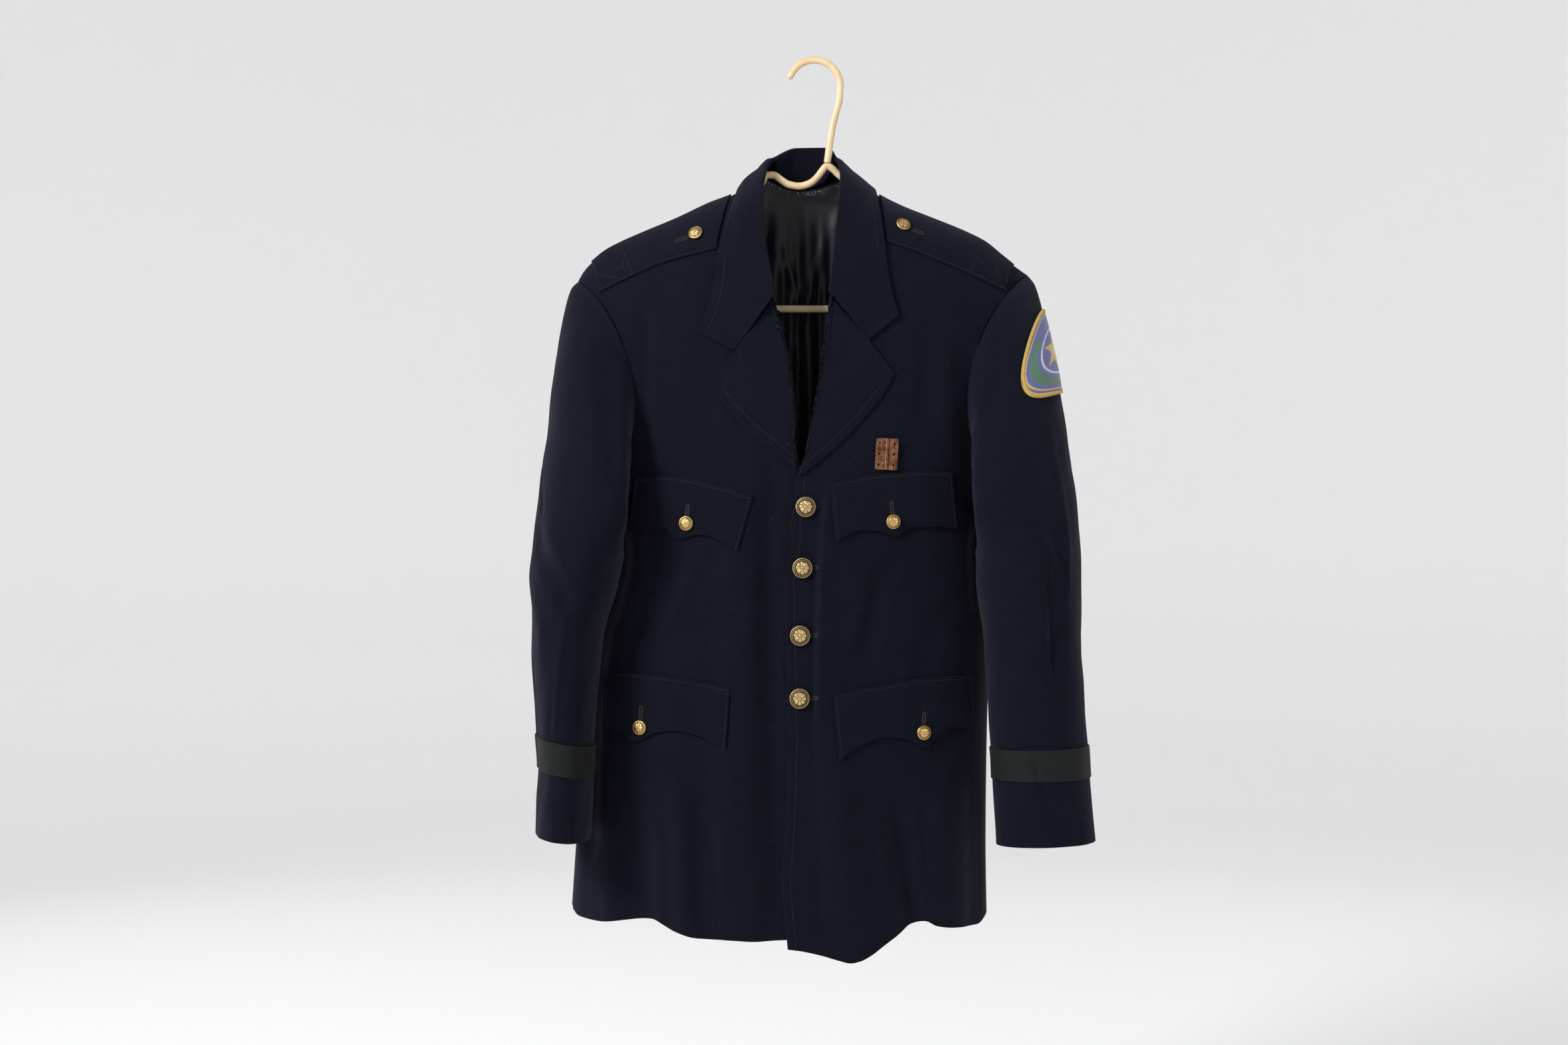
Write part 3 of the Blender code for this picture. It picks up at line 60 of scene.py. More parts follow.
LAMPS = [
    ("name", "at", "size", "watts"),
    ("key", (-1.75, -1.7, 0.75), 0.7, 78.0),
    ("fill", (1.9, -1.9, 0.1), 1.4, 12.0),
    ("low", (0.1, -2.4, -1.15), 1.4, 1.0),
    ("back_right", (1.6, 2.4, 0.9), 1.8, 11.0),
    ("back_left", (-1.8, 2.2, 0.4), 1.8, 8.0),
]
LAMP_AIM = Vector((-0.03, 0.0, -0.5))
ROOM_LIGHT = 0.57


def new_material(name, colour, roughness, metallic=0.0):
    """A material, its node tree and its Principled shader."""
    material = bpy.data.materials.new(name)
    material.use_nodes = True
    shader = material.node_tree.nodes["Principled BSDF"]
    shader.inputs["Base Color"].default_value = (*colour, 1)
    shader.inputs["Roughness"].default_value = roughness
    shader.inputs["Metallic"].default_value = metallic
    return material, material.node_tree, shader


def node(tree, kind, inputs=None, **settings):
    """A node with its settings made and its inputs set or linked."""
    made = tree.nodes.new(kind)
    for key, value in settings.items():
        setattr(made, key, value)
    for socket, value in (inputs or {}).items():
        if isinstance(value, bpy.types.NodeSocket):
            tree.links.new(value, made.inputs[socket])
        else:
            made.inputs[socket].default_value = value
    return made


def noise(tree, where, scale, detail=3.0, roughness=0.55):
    made = node(tree, "ShaderNodeTexNoise", {"Vector": where, "Scale": scale, "Detail": detail,
                                             "Roughness": roughness})
    return made.outputs["Fac"]


def ramp(tree, factor, stops):
    """A colour ramp from its stops, each a place and a colour or a grey."""
    made = node(tree, "ShaderNodeValToRGB", {"Fac": factor})
    elements = made.color_ramp.elements
    while len(elements) < len(stops):
        elements.new(0.5)
    for element, (place, colour) in zip(elements, stops):
        element.position = place
        element.color = (*colour, 1) if isinstance(colour, tuple) else (colour, colour, colour, 1)
    return made.outputs["Color"]


def maths(tree, operation, *values):
    return node(tree, "ShaderNodeMath", dict(enumerate(values)), operation=operation).outputs[0]


def bump(tree, height, distance, strength=1.0, under=None):
    inputs = {"Height": height, "Distance": distance, "Strength": strength}
    if under is not None:
        inputs["Normal"] = under
    return node(tree, "ShaderNodeBump", inputs).outputs["Normal"]


def object_place(tree):
    return node(tree, "ShaderNodeTexCoord").outputs["Object"]


camera = bpy.data.objects.new("camera", bpy.data.cameras.new("camera"))
camera.data.sensor_width = SENSOR_WIDTH
camera.data.lens = LENS
camera.data.clip_end = 60
camera.location = CAMERA_AT
camera.rotation_euler = (math.pi / 2, 0, 0)
bpy.context.scene.collection.objects.link(camera)
bpy.context.scene.camera = camera

for lamp_name, lamp_at, lamp_size, lamp_watts in LAMPS[1:]:
    lamp = bpy.data.objects.new(lamp_name, bpy.data.lights.new(lamp_name, "AREA"))
    lamp.data.shape = "DISK"
    lamp.data.size = lamp_size
    lamp.data.energy = lamp_watts
    lamp.location = lamp_at
    lamp.rotation_euler = (LAMP_AIM - Vector(lamp_at)).to_track_quat("-Z", "Y").to_euler()
    lamp.visible_camera = False
    bpy.context.scene.collection.objects.link(lamp)

world = bpy.data.worlds.new("room")
world.use_nodes = True
world.node_tree.nodes["Background"].inputs["Color"].default_value = (1, 1, 1, 1)
world.node_tree.nodes["Background"].inputs["Strength"].default_value = ROOM_LIGHT
bpy.context.scene.world = world
bpy.context.scene.view_settings.view_transform = "Standard"

plaster, plaster_tree, plaster_shader = new_material("plaster", COVE_COLOUR, 0.9)
plaster_shader.inputs["Normal"].default_value = (0, 0, 0)
plaster_grain = noise(plaster_tree, object_place(plaster_tree), 40.0)
plaster_tree.links.new(bump(plaster_tree, plaster_grain, 0.0004), plaster_shader.inputs["Normal"])
cove_points = [(radius * math.cos(2 * math.pi * k / COVE_TURNS), radius * math.sin(2 * math.pi * k / COVE_TURNS),
                height) for radius, height in COVE_PROFILE[1:] for k in range(COVE_TURNS)]
cove_faces = [(r * COVE_TURNS + k, r * COVE_TURNS + (k + 1) % COVE_TURNS,
               (r + 1) * COVE_TURNS + (k + 1) % COVE_TURNS, (r + 1) * COVE_TURNS + k)[::-1]
              for r in range(len(COVE_PROFILE) - 2) for k in range(COVE_TURNS)]
cove_faces.append(tuple(range(COVE_TURNS)))
cove_mesh = bpy.data.meshes.new("cove")
cove_mesh.from_pydata(cove_points, [], cove_faces)
cove_mesh.materials.append(plaster)
cove_mesh.shade_smooth()
cove_mesh.set_sharp_from_angle(angle=math.radians(40))
cove = bpy.data.objects.new("cove", cove_mesh)
bpy.context.scene.collection.objects.link(cove)

# ---------------------------------------------------------------------------------------------
# Fronts: two panels of dark navy wool serge, each cut in one piece from shoulder to hem. The
# wearer's left one lies on top and is pulled across by the buttons, which throws up a pleat
# beside its edge. Both are sewn to the back at shoulder and side.
CLOTH = 2.0
SEAM = 0.4
SIDE_Y = 8.0
SHOULDER_ROLL = 90.0
BOW = 2.2
ARMHOLE_ROWS = 80
SIDE_ROWS = 88
UNDERARM_Z = -478.0
BODY = [
    ("z", "right_side", "left_side", "front", "back"),
    (-990, -274, 194, -84, 31),
    (-865, -266, 192, -87, 31),
    (-760, -258, 193, -90, 31),
    (-640, -248, 197, -92, 31),
    (-478, -232, 205, -90, 31),
    (-373, -256, 230, -84, 30),
    (-240, -278, 253, -62, 30),
    (-110, -284, 258, -48, 30),
]
SHOULDER = [
    ("x", "z"),
    (-265.5, -243.5), (-258, -231), (-246, -218.5), (-231, -207), (-211, -197), (-191, -188.5),
    (-151, -172), (-118, -156.5), (-85, -143), (-60, -121), (-40, -111), (-10, -105),
    (18, -109), (38, -121), (67, -144), (97, -159.5), (125, -170.5), (163, -185.5),
    (189, -198), (207, -212), (225, -226), (240, -236.5),
]
HEM_RIGHT = [
    ("x", "z"),
    (-272, -941), (-262, -948), (-241, -949.5), (-209, -946), (-179, -943), (-152, -955),
    (-126, -962), (-93, -963.5), (-59, -965), (-31, -964), (8, -963),
]
HEM_LEFT = [
    ("x", "z"),
    (-30, -973), (-16, -975), (7, -980), (27, -986), (38, -988.5), (49, -986.5), (61, -980.5),
    (74, -971), (94, -957), (104, -950.5), (120, -947), (133, -952.5), (150, -955),
    (180, -957), (193, -948),
]
HEM_BACK_Z = -947.0
NECK_TOP_Z = -121.0
EDGE_RIGHT = [
    ("z", "x"),
    (-963, 8), (-600, 8), (-520, 3), (-475, -11), (-446.4, -19.2), (-416.5, -18), (-379, -19.2),
    (-349, -23), (-324, -28), (-299, -34.3), (-264, -43), (-234, -49.2), (-211.6, -53),
    (-186.7, -55.4), (-161.8, -56.7), (-144, -56.5), (-117, -60),
]
EDGE_LEFT = [
    ("z", "x"),
    (-973, -30), (-927, -34.3), (-893.8, -36.7), (-882.6, -35.3), (-827, -31.7), (-753, -29.8),
    (-704, -30.5), (-630, -31.7), (-580.5, -33), (-548, -28.8), (-531, -25.6), (-511, -26.8),
    (-496.6, -23.1), (-466.6, -22.2), (-457.4, -17.5), (-434, -13.1), (-391.5, -5.6),
    (-354, 0.6), (-304, 6.9), (-264, 13.1), (-244, 16.9), (-204, 20.6), (-154, 25), (-135, 31),
    (-117, 38),
]
BREAK_Z = {"right": -450.0, "left": -457.4}
FOLDS_RIGHT = [
    ("x_top", "z_top", "x_bottom", "z_bottom", "half", "depth"),
    (-52, -425, -45, -1000, 20, -7),
    (-84, -440, -92, -1000, 30, 6),
    (-135, -515, -205, -680, 24, -6),
    (-158, -560, -212, -720, 22, 4),
    (-185, -255, -184, -470, 16, -5),
    (-120, -300, -124, -440, 24, -3),
    (-128, -700, -118, -1000, 26, -4),
    (-150, -760, -140, -1000, 24, 7),
    (-192, -780, -188, -1000, 26, -6),
    (-228, -800, -226, -1000, 22, 4),
]
FOLDS_LEFT = [
    ("x_top", "z_top", "x_bottom", "z_bottom", "half", "depth"),
    (165, -280, 168, -560, 16, -5),
    (118, -285, 120, -420, 18, -3),
    (140, -300, 146, -440, 18, 3),
    (80, -540, 44, -690, 22, -5),
    (128, -610, 100, -760, 22, -4),
    (20, -740, 38, -1010, 36, 11),
    (84, -800, 113, -1000, 22, -12),
    (140, -760, 152, -1010, 28, 8),
    (178, -760, 180, -1010, 18, -5),
]
# Small creases that the solids leave out: drag lines from the buttons, puckers at seams.
CREASES_RIGHT = [
    ("x_top", "z_top", "x_bottom", "z_bottom", "half", "depth"),
    (-60, -470, -100, -600, 12, 1.6),
    (-118, -545, -172, -650, 9, 1.8),
    (-196, -300, -206, -420, 7, -1.5),
    (-172, -560, -196, -640, 8, -1.4),
    (-66, -700, -60, -930, 9, -1.5),
    (-170, -820, -166, -990, 10, 1.7),
    (-108, -830, -104, -990, 9, -1.5),
    (-30, -470, -38, -620, 8, -1.6),
]
CREASES_LEFT = [
    ("x_top", "z_top", "x_bottom", "z_bottom", "half", "depth"),
    (-6, -566, 10, -548, 3.6, -1.5),
    (-8, -640, 9, -620, 3.8, -1.7),
    (-9, -652, 8, -633, 3.0, 1.0),
    (-9, -708, 8, -690, 3.8, -1.6),
    (-22, -527, -36, -543, 3.4, -1.2),
    (60, -560, 36, -660, 9, 1.6),
    (108, -640, 92, -740, 8, 1.4),
    (152, -300, 156, -470, 7, -1.6),
    (104, -300, 108, -380, 8, 1.2),
    (60, -830, 72, -960, 9, -1.6),
    (122, -820, 132, -960, 8, 1.6),
    (0, -800, 8, -980, 10, -1.4),
]
PLEAT = [
    ("z", "x", "depth"),
    (-860, 8, 0), (-760, 3, 4), (-703, 0.5, 8), (-629, 1.4, 10), (-556, 3.8, 10), (-507, 7.6, 9),
    (-482, 11.3, 7), (-462, 14, 0),
]
PLEAT_FADE = 46.0
PLEAT_COLUMNS = (0, 0.06, 0.122, 0.163, 0.21, 0.265, 0.33, 0.40, 0.47, 0.54, 0.61, 0.68, 0.745,
                 0.805, 0.86, 0.91, 0.95, 0.98, 1)
RIGHT_COLUMNS = 97
LEFT_COLUMNS = 127
UNDERLAP = 6.0
TURN_BACK = 4.5             # how far the panel's edge stays inside the roll of the lapel
SLEEVE_ROOM = 3.5
SLEEVE_RIGHT = [
    ("s", "x_out", "z_out", "x_in", "z_in", "y_mid", "front", "back", "push"),
    (0.00, -265.5, -243.5, -232, -478, 8, 70, 20, 50),
    (0.03, -272, -252, -233.2, -486.3, 2, 78.2, 24.2, 48),
    (0.10, -280, -290, -232.2, -497.3, -12, 82.2, 28.2, 46),
    (0.20, -287, -345, -227.2, -510.3, -32, 82.2, 34.2, 42),
    (0.31, -292, -410, -217.2, -527.3, -50, 80.2, 42.2, 34),
    (0.43, -300, -480, -208.2, -548.3, -62, 76.2, 50.2, 12),
    (0.55, -306.5, -555, -214.2, -580.3, -69, 71.2, 58.2, 0),
    (0.66, -306.5, -632, -229.2, -636.3, -72, 64.2, 60.2, 0),
    (0.75, -304.2, -690, -235.2, -694.3, -73, 62.2, 60.2, 0),
    (0.83, -300.7, -740, -239.2, -752.3, -73, 62.2, 60.2, 0),
    (0.885, -298.7, -775, -240.2, -785.3, -73, 62.2, 60.2, 0),
    (0.94, -301.2, -810, -241.2, -817.3, -73, 62.2, 60.2, 0),
    (1.00, -301.7, -847, -242.2, -854.3, -73, 62.2, 60.2, 0),
]
SLEEVE_LEFT = [
    ("s", "x_out", "z_out", "x_in", "z_in", "y_mid", "front", "back", "push"),
    (0.00, 240, -236.5, 205, -478, 8, 70, 20, -54),
    (0.03, 247, -248, 206, -486, 2, 78, 24, -52),
    (0.10, 256, -288, 205, -497, -12, 82, 28, -50),
    (0.20, 266, -345, 199, -510, -32, 82, 34, -48),
    (0.31, 274, -410, 187, -527, -50, 80, 42, -38),
    (0.43, 282, -480, 174, -548, -62, 76, 50, -12),
    (0.55, 287, -555, 174, -580, -69, 70, 56, 0),
    (0.66, 287, -632, 181.5, -636, -72, 60, 54, 0),
    (0.75, 289.5, -690, 185.5, -694, -73, 54, 50, 0),
    (0.845, 294, -753, 189.5, -756, -73, 48, 45, 0),
    (0.90, 296, -787, 191.5, -789, -73, 45, 43, 0),
    (0.95, 299, -821, 193.5, -823, -73, 42, 41, 0),
    (1.00, 302.5, -857, 195.5, -861, -73, 39, 39, 0),
]
SLEEVE_SKEW = 0.5
SLEEVE_TUCK = 0.85
BACK_LEAN = 0.55
SWING = 0.28                # ring by which a sleeve has swung forward, clear of the body
SWING_TURN = 80.0           # degrees by which its underarm has turned to the back by then
# A dent (-) or ridge (+) across the sleeve from one angle and ring to another.
SLEEVE_FOLDS_RIGHT = [
    ("angle_1", "s_1", "angle_2", "s_2", "half", "depth"),
    (30, 0.50, 95, 0.60, 0.05, -5),
    (10, 0.56, 60, 0.66, 0.05, 3),
    (70, 0.06, 100, 0.30, 0.06, -4),
    (8, 0.38, 34, 0.46, 0.016, -2.4),
    (84, 0.52, 130, 0.60, 0.020, -2.4),
    (70, 0.60, 118, 0.66, 0.018, 1.8),
    (22, 0.70, 30, 0.98, 0.022, -1.8),
    (95, 0.62, 80, 0.82, 0.024, 2.0),
    (210, 0.30, 250, 0.60, 0.040, -4),
    (280, 0.45, 320, 0.60, 0.035, -3),
]
SLEEVE_FOLDS_LEFT = [
    ("angle_1", "s_1", "angle_2", "s_2", "half", "depth"),
    (62, 0.46, 70, 0.72, 0.05, -5),
    (78, 0.08, 100, 0.30, 0.06, -3),
    (84, 0.34, 72, 0.74, 0.016, -2.6),
    (60, 0.735, 120, 0.75, 0.012, -1.6),
    (96, 0.42, 60, 0.56, 0.020, 2.2),
    (104, 0.86, 84, 0.98, 0.022, -2.6),
    (40, 0.30, 52, 0.60, 0.024, 2.0),
    (210, 0.30, 250, 0.60, 0.040, -4),
    (280, 0.45, 320, 0.60, 0.035, -3),
]
EDGE_STITCH = 9.0
RIM_STEPS = (0.15, 0.5, 1.1)
NO_EDGE = 1.0
WOOL_DARK = (0.0008, 0.0009, 0.0035)
WOOL_LIGHT = (0.0042, 0.0044, 0.0122)
TWILL_PITCH = 0.0011


def column(table, name):
    place = table[0].index(name)
    return [row[place] for row in table[1:]]


def smooth(keys, values, at):
    """Values between the rows of a table, on a smooth curve that never overshoots them."""
    keys = np.asarray(keys, float)
    values = np.asarray(values, float)
    if keys[0] > keys[-1]:
        keys, values = keys[::-1], values[::-1]
    step = np.diff(keys)
    rise = np.diff(values) / step
    slope = np.zeros_like(values)
    same = rise[:-1] * rise[1:] > 0
    both = np.where(same, rise[:-1] + rise[1:], 1.0)
    slope[1:-1] = np.where(same, 2 * rise[:-1] * rise[1:] / both, 0.0)
    slope[0], slope[-1] = rise[0], rise[-1]
    at = np.clip(np.asarray(at, float), keys[0], keys[-1])
    i = np.clip(np.searchsorted(keys, at, side="right") - 1, 0, len(step) - 1)
    t = (at - keys[i]) / step[i]
    return ((2 * t**3 - 3 * t**2 + 1) * values[i] + (t**3 - 2 * t**2 + t) * step[i] * slope[i]
            + (3 * t**2 - 2 * t**3) * values[i + 1] + (t**3 - t**2) * step[i] * slope[i + 1])


def path(points, count):
    """Points evenly spread along a smooth curve through the given ones."""
    points = np.asarray(points, float)
    run = np.concatenate([[0], np.cumsum(np.linalg.norm(np.diff(points, axis=0), axis=1))])
    at = np.linspace(0, run[-1], count)
    return np.stack([smooth(run, points[:, k], at) for k in range(points.shape[1])], axis=1)


def ease(t):
    t = np.clip(t, 0, 1)
    return t * t * (3 - 2 * t)


def unit(vectors):
    return vectors / np.maximum(np.linalg.norm(vectors, axis=-1, keepdims=True), 1e-9)


def fold_height(folds, x, z):
    """How far the folds of a panel stand out at each place."""
    height = np.zeros_like(x)
    for x1, z1, x2, z2, half, depth in folds[1:]:
        run = np.array([x2 - x1, z2 - z1], float)
        length = np.hypot(*run)
        run /= length
        along = ((x - x1) * run[0] + (z - z1) * run[1]) / length
        across = np.abs((x - x1) * run[1] - (z - z1) * run[0])
        ends = ease(along / 0.3) * ease((1 - along) / 0.3)
        height += depth * ends * np.cos(np.clip(across / half, 0, 1) * math.pi / 2) ** 2
    return height


def handling(x, z, seed, depth=0.35):
    """The faint unevenness of worn cloth: a few long waves laid over one another."""
    rng = np.random.default_rng(seed)
    height = np.zeros_like(x)
    for _ in range(9):
        turn, shift = rng.uniform(0, 2 * math.pi, 2)
        length = rng.uniform(26, 90)
        height += np.sin(2 * math.pi * (x * math.cos(turn) + 0.6 * z * math.sin(turn)) / length + shift)
    return height * depth / 3


def shoulder_z(x):
    return smooth(column(SHOULDER, "x"), column(SHOULDER, "z"), x)


def fullness(x, z):
    """How fully the body is bowed at a place: 0 on its outline and 1 in its middle."""
    sides = [smooth(column(BODY, "z"), column(BODY, name), z) for name in ("right_side", "left_side")]
    across = np.clip(np.abs(2 * x - sides[0] - sides[1]) / (sides[1] - sides[0]), 0, 1)
    drop = np.clip((shoulder_z(x) - z) / SHOULDER_ROLL, 0, 1)
    return (1 - across**BOW) ** (1 / BOW) * np.sqrt(1 - (1 - drop) ** 2)


def front_y(x, z, folds=None):
    full = fullness(x, z)
    stand = SIDE_Y - smooth(column(BODY, "z"), column(BODY, "front"), z)
    y = SIDE_Y - full * stand
    if folds is not None:
        y = y - (fold_height(folds, x, z) + handling(x, z, len(folds))) * np.clip(3 * full - 0.6, 0, 1)
    return y


def right_front_y(x, z):
    under = ease((x + 72) / 30) * ease((-425 - z) / 30)
    return front_y(x, z, FOLDS_RIGHT + CREASES_RIGHT[1:]) + UNDERLAP * under


def left_front_y(x, z):
    edge = smooth(column(PLEAT, "z"), column(PLEAT, "x"), z)
    depth = smooth(column(PLEAT, "z"), column(PLEAT, "depth"), z)
    stand = depth * ease((x - edge + 5) / 10) * np.exp(-np.maximum(x - edge, 0) / PLEAT_FADE)
    return front_y(x, z, FOLDS_LEFT + CREASES_LEFT[1:]) - stand


def armhole(sleeve, angle, y_behind):
    """Ring where a sleeve meets the body, on the body's own surface."""
    first = dict(zip(sleeve[0], sleeve[1]))
    c, q = np.cos(angle), np.sin(angle)
    lean = np.abs(q) ** 1.5 * np.where(q > 0, 1, BACK_LEAN)
    x = (first["x_out"] + first["x_in"]) / 2 + c * (first["x_out"] - first["x_in"]) / 2 + lean * first["push"]
    z = (first["z_out"] + first["z_in"]) / 2 + c * (first["z_out"] - first["z_in"]) / 2
    y = np.where(q > 1e-6, front_y(x, z), np.where(q < -1e-6, y_behind(x, z), SIDE_Y))
    return np.stack([x, y, z], axis=-1)


def back_y(x, z, folds=None):
    full = fullness(x, z)
    stand = smooth(column(BODY, "z"), column(BODY, "back"), z) - SIDE_Y
    y = SIDE_Y + full * stand
    if folds is not None:
        y = y + (fold_height(folds, x, z) + handling(x, z, len(folds))) * np.clip(3 * full - 0.6, 0, 1)
    return y


def under_share(angle):
    """How much of the underarm's run a place has: 1 under the arm, 0 on the sleeve's outside."""
    degrees = np.degrees(angle) % 360
    return ease((degrees - 70) / 110) * ease((330 - degrees) / 130)


def sleeve_ring(sleeve, s, angle):
    """A sleeve's surface without its folds, as the rings of the table give it."""
    ring = {name: smooth(column(sleeve, "s"), column(sleeve, name), s) for name in sleeve[0][1:]}
    c, q = np.cos(angle), np.sin(angle)
    skew = np.where(q > 0, -SLEEVE_SKEW, SLEEVE_TUCK) * ease(s / 0.12) * c
    lean = np.abs(q) ** 1.5 * np.where(q > 0, 1, BACK_LEAN) * (1 + skew)
    x = (ring["x_out"] + ring["x_in"]) / 2 + c * (ring["x_out"] - ring["x_in"]) / 2 + lean * ring["push"]
    z = (ring["z_out"] + ring["z_in"]) / 2 + c * (ring["z_out"] - ring["z_in"]) / 2
    y = ring["y_mid"] - np.where(q > 0, ring["front"], ring["back"]) * q
    first = dict(zip(sleeve[0], sleeve[1]))
    flat_y = first["y_mid"] - np.where(q > 0, first["front"], first["back"]) * q
    y = y + (armhole(sleeve, angle, back_y)[..., 1] - flat_y) * ease(1 - s / 0.2)
    return np.stack([x, y, z], axis=-1)


def sleeve_surface(sleeve, folds, s, angle):
    """Outer surface of a sleeve: s runs from armhole to cuff, angle round it from its outer
    side, over its front, to its inner side. Under the arm it runs straight, and turns."""
    s, angle = np.broadcast_arrays(np.asarray(s, float), np.asarray(angle, float))
    share = under_share(angle)
    turn = np.radians(SWING_TURN) * share
    way = np.clip(s / SWING, 0, 1)
    swung = sleeve_ring(sleeve, SWING + 0 * s, angle + turn)
    straight = armhole(sleeve, angle, back_y) * (1 - way)[..., None] + swung * way[..., None]
    early = (share * (s < SWING))[..., None]
    angle = angle + turn * ease(way)
    points = sleeve_ring(sleeve, s, angle) * (1 - early) + straight * early
    middle = sleeve_ring(sleeve, s, 0 * s) / 2 + sleeve_ring(sleeve, s, 0 * s + math.pi) / 2
    degrees = np.degrees(angle) % 360
    inward = unit((middle - points) * [1, 1, 0])
    for a1, s1, a2, s2, half, depth in folds[1:]:
        run = np.array([(a2 - a1) / 360, s2 - s1])
        length = np.hypot(*run)
        run = run / length
        from_start = [(degrees - a1) / 360, s - s1]
        along = (from_start[0] * run[0] + from_start[1] * run[1]) / length
        across = np.abs(from_start[0] * run[1] - from_start[1] * run[0])
        ends = ease((along + 0.15) / 0.3) * ease((1.15 - along) / 0.3)
        height = depth * ends * np.cos(np.clip(across / half, 0, 1) * math.pi / 2) ** 2
        points = points - inward * height[..., None]
    worn = handling(degrees * 1.1, s * 620, len(folds) + 40, 0.45) * ease(s / 0.06)
    return points - inward * worn[..., None]


def grid_normals(points, outward):
    """Unit normals of a grid of points, turned to the side that outward gives."""
    normals = unit(np.cross(np.gradient(points, axis=1), np.gradient(points, axis=0)))
    if np.sum(normals * outward) < 0:
        normals = -normals
    return normals


def grid_quads(rows, columns):
    first = (np.arange(rows - 1)[:, None] * columns + np.arange(columns - 1)[None]).reshape(-1)
    return np.stack([first, first + 1, first + columns + 1, first + columns], axis=1)


def surface_tree(points, normals):
    """Search tree of a surface whose faces point the way of its normals."""
    rows, columns = points.shape[:2]
    quads = grid_quads(rows, columns)
    flat = points.reshape(-1, 3)
    middle = quads[len(quads) // 2]
    way = np.cross(flat[middle[1]] - flat[middle[0]], flat[middle[3]] - flat[middle[0]])
    if way @ normals.reshape(-1, 3)[middle[0]] < 0:
        quads = quads[:, ::-1]
    return BVHTree.FromPolygons([Vector(p) for p in flat], quads.tolist())


def on_surface(tree, x, z, from_y=-400.0):
    """Where a line along Y meets a surface, seen from the front or from inside the neck."""
    x, z = np.broadcast_arrays(np.asarray(x, float), np.asarray(z, float))
    places = np.zeros(x.shape + (3,))
    normals = np.zeros(x.shape + (3,))
    way = Vector((0, -math.copysign(1, from_y), 0))
    for i in np.ndindex(x.shape):
        hit, normal = tree.ray_cast(Vector((x[i], from_y, z[i])), way)[:2]
        if hit is None:
            hit, normal = tree.find_nearest(Vector((x[i], 0, z[i])))[:2]
        places[i] = hit
        normals[i] = normal if normal.y * way.y < 0 else -normal
    return places, normals


def coons(inner, outer, top, bottom):
    """Grid between four edges. Inner and outer run down, top and bottom run outwards."""
    v = np.linspace(0, 1, len(inner))[:, None, None]
    u = np.linspace(0, 1, len(top))[None, :, None]
    sides = (1 - u) * inner[:, None] + u * outer[:, None]
    ends = (1 - v) * top[None] + v * bottom[None]
    corners = ((1 - u) * (1 - v) * inner[0] + u * (1 - v) * outer[0]
               + (1 - u) * v * inner[-1] + u * v * outer[-1])
    return sides + ends - corners


def runs(points, axis):
    """Length run along a grid's lines, from their start."""
    step = np.linalg.norm(np.diff(points, axis=axis), axis=-1)
    return np.concatenate([np.zeros_like(np.take(step, [0], axis=axis)), np.cumsum(step, axis=axis)], axis=axis)


def near_rims(grid):
    """The grid with lines added close beside its borders, where the cloth's edge rounds off."""
    for _ in range(2):
        for _ in range(2):
            room = np.linalg.norm(grid[:, 1] - grid[:, 0], axis=-1, keepdims=True)
            way = unit(grid[:, 1] - grid[:, 0])
            squeeze = np.minimum(1, 0.8 * room / RIM_STEPS[-1])
            added = [grid[:, 0] + way * step * squeeze for step in RIM_STEPS]
            grid = np.concatenate([grid[:, :1], np.stack(added, axis=1), grid[:, 1:]], axis=1)[:, ::-1]
        grid = grid.transpose(1, 0, 2)
    return grid


def leg_lines(grid, side, start, stop):
    """Grid lines that start on part of one side and run inwards from it."""
    lines = {"left": grid, "right": grid[:, ::-1], "top": grid.transpose(1, 0, 2),
             "bottom": grid[::-1].transpose(1, 0, 2)}[side]
    last = len(lines) - 1
    return lines[int(round(start * last)):int(round(stop * last)) + 1]


def edge_distance(points, grid, legs):
    """How far each point is from the sides of a grid that are topstitched."""
    border = np.concatenate([path_through(leg_lines(grid, *leg)[:, 0], 1.0) for leg in legs])
    tree = KDTree(len(border))
    for i, place in enumerate(border):
        tree.insert(place, i)
    tree.balance()
    return np.array([tree.find(point)[2] for point in points.reshape(-1, 3)]).reshape(points.shape[:-1])


def path_through(points, spacing):
    """A polyline with points no further apart than the spacing."""
    run = np.concatenate([[0], np.cumsum(np.linalg.norm(np.diff(points, axis=0), axis=1))])
    at = np.linspace(0, run[-1], max(2, int(run[-1] / spacing) + 1))
    return np.stack([np.interp(at, run, points[:, k]) for k in range(3)], axis=1)


def new_piece(name, points, faces, material, uv=None, values=None):
    """An object from points in millimetres, with its own UV map and named point values."""
    mesh = bpy.data.meshes.new(name)
    mesh.from_pydata((np.asarray(points) * MM).tolist(), [], np.asarray(faces).tolist()
                     if isinstance(faces, np.ndarray) else faces)
    corner = np.zeros(len(mesh.loops), int)
    mesh.loops.foreach_get("vertex_index", corner)
    if uv is not None:
        layer = mesh.uv_layers.new(name="cloth")
        layer.data.foreach_set("uv", (np.asarray(uv)[corner] * MM).astype(np.float32).ravel())
    for key, value in (values or {}).items():
        mesh.attributes.new(key, "FLOAT", "POINT").data.foreach_set("value", np.asarray(value, np.float32))
    mesh.materials.append(material)
    mesh.shade_smooth()
    piece = bpy.data.objects.new(name, mesh)
    bpy.context.scene.collection.objects.link(piece)
    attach(piece, "root")
    return piece


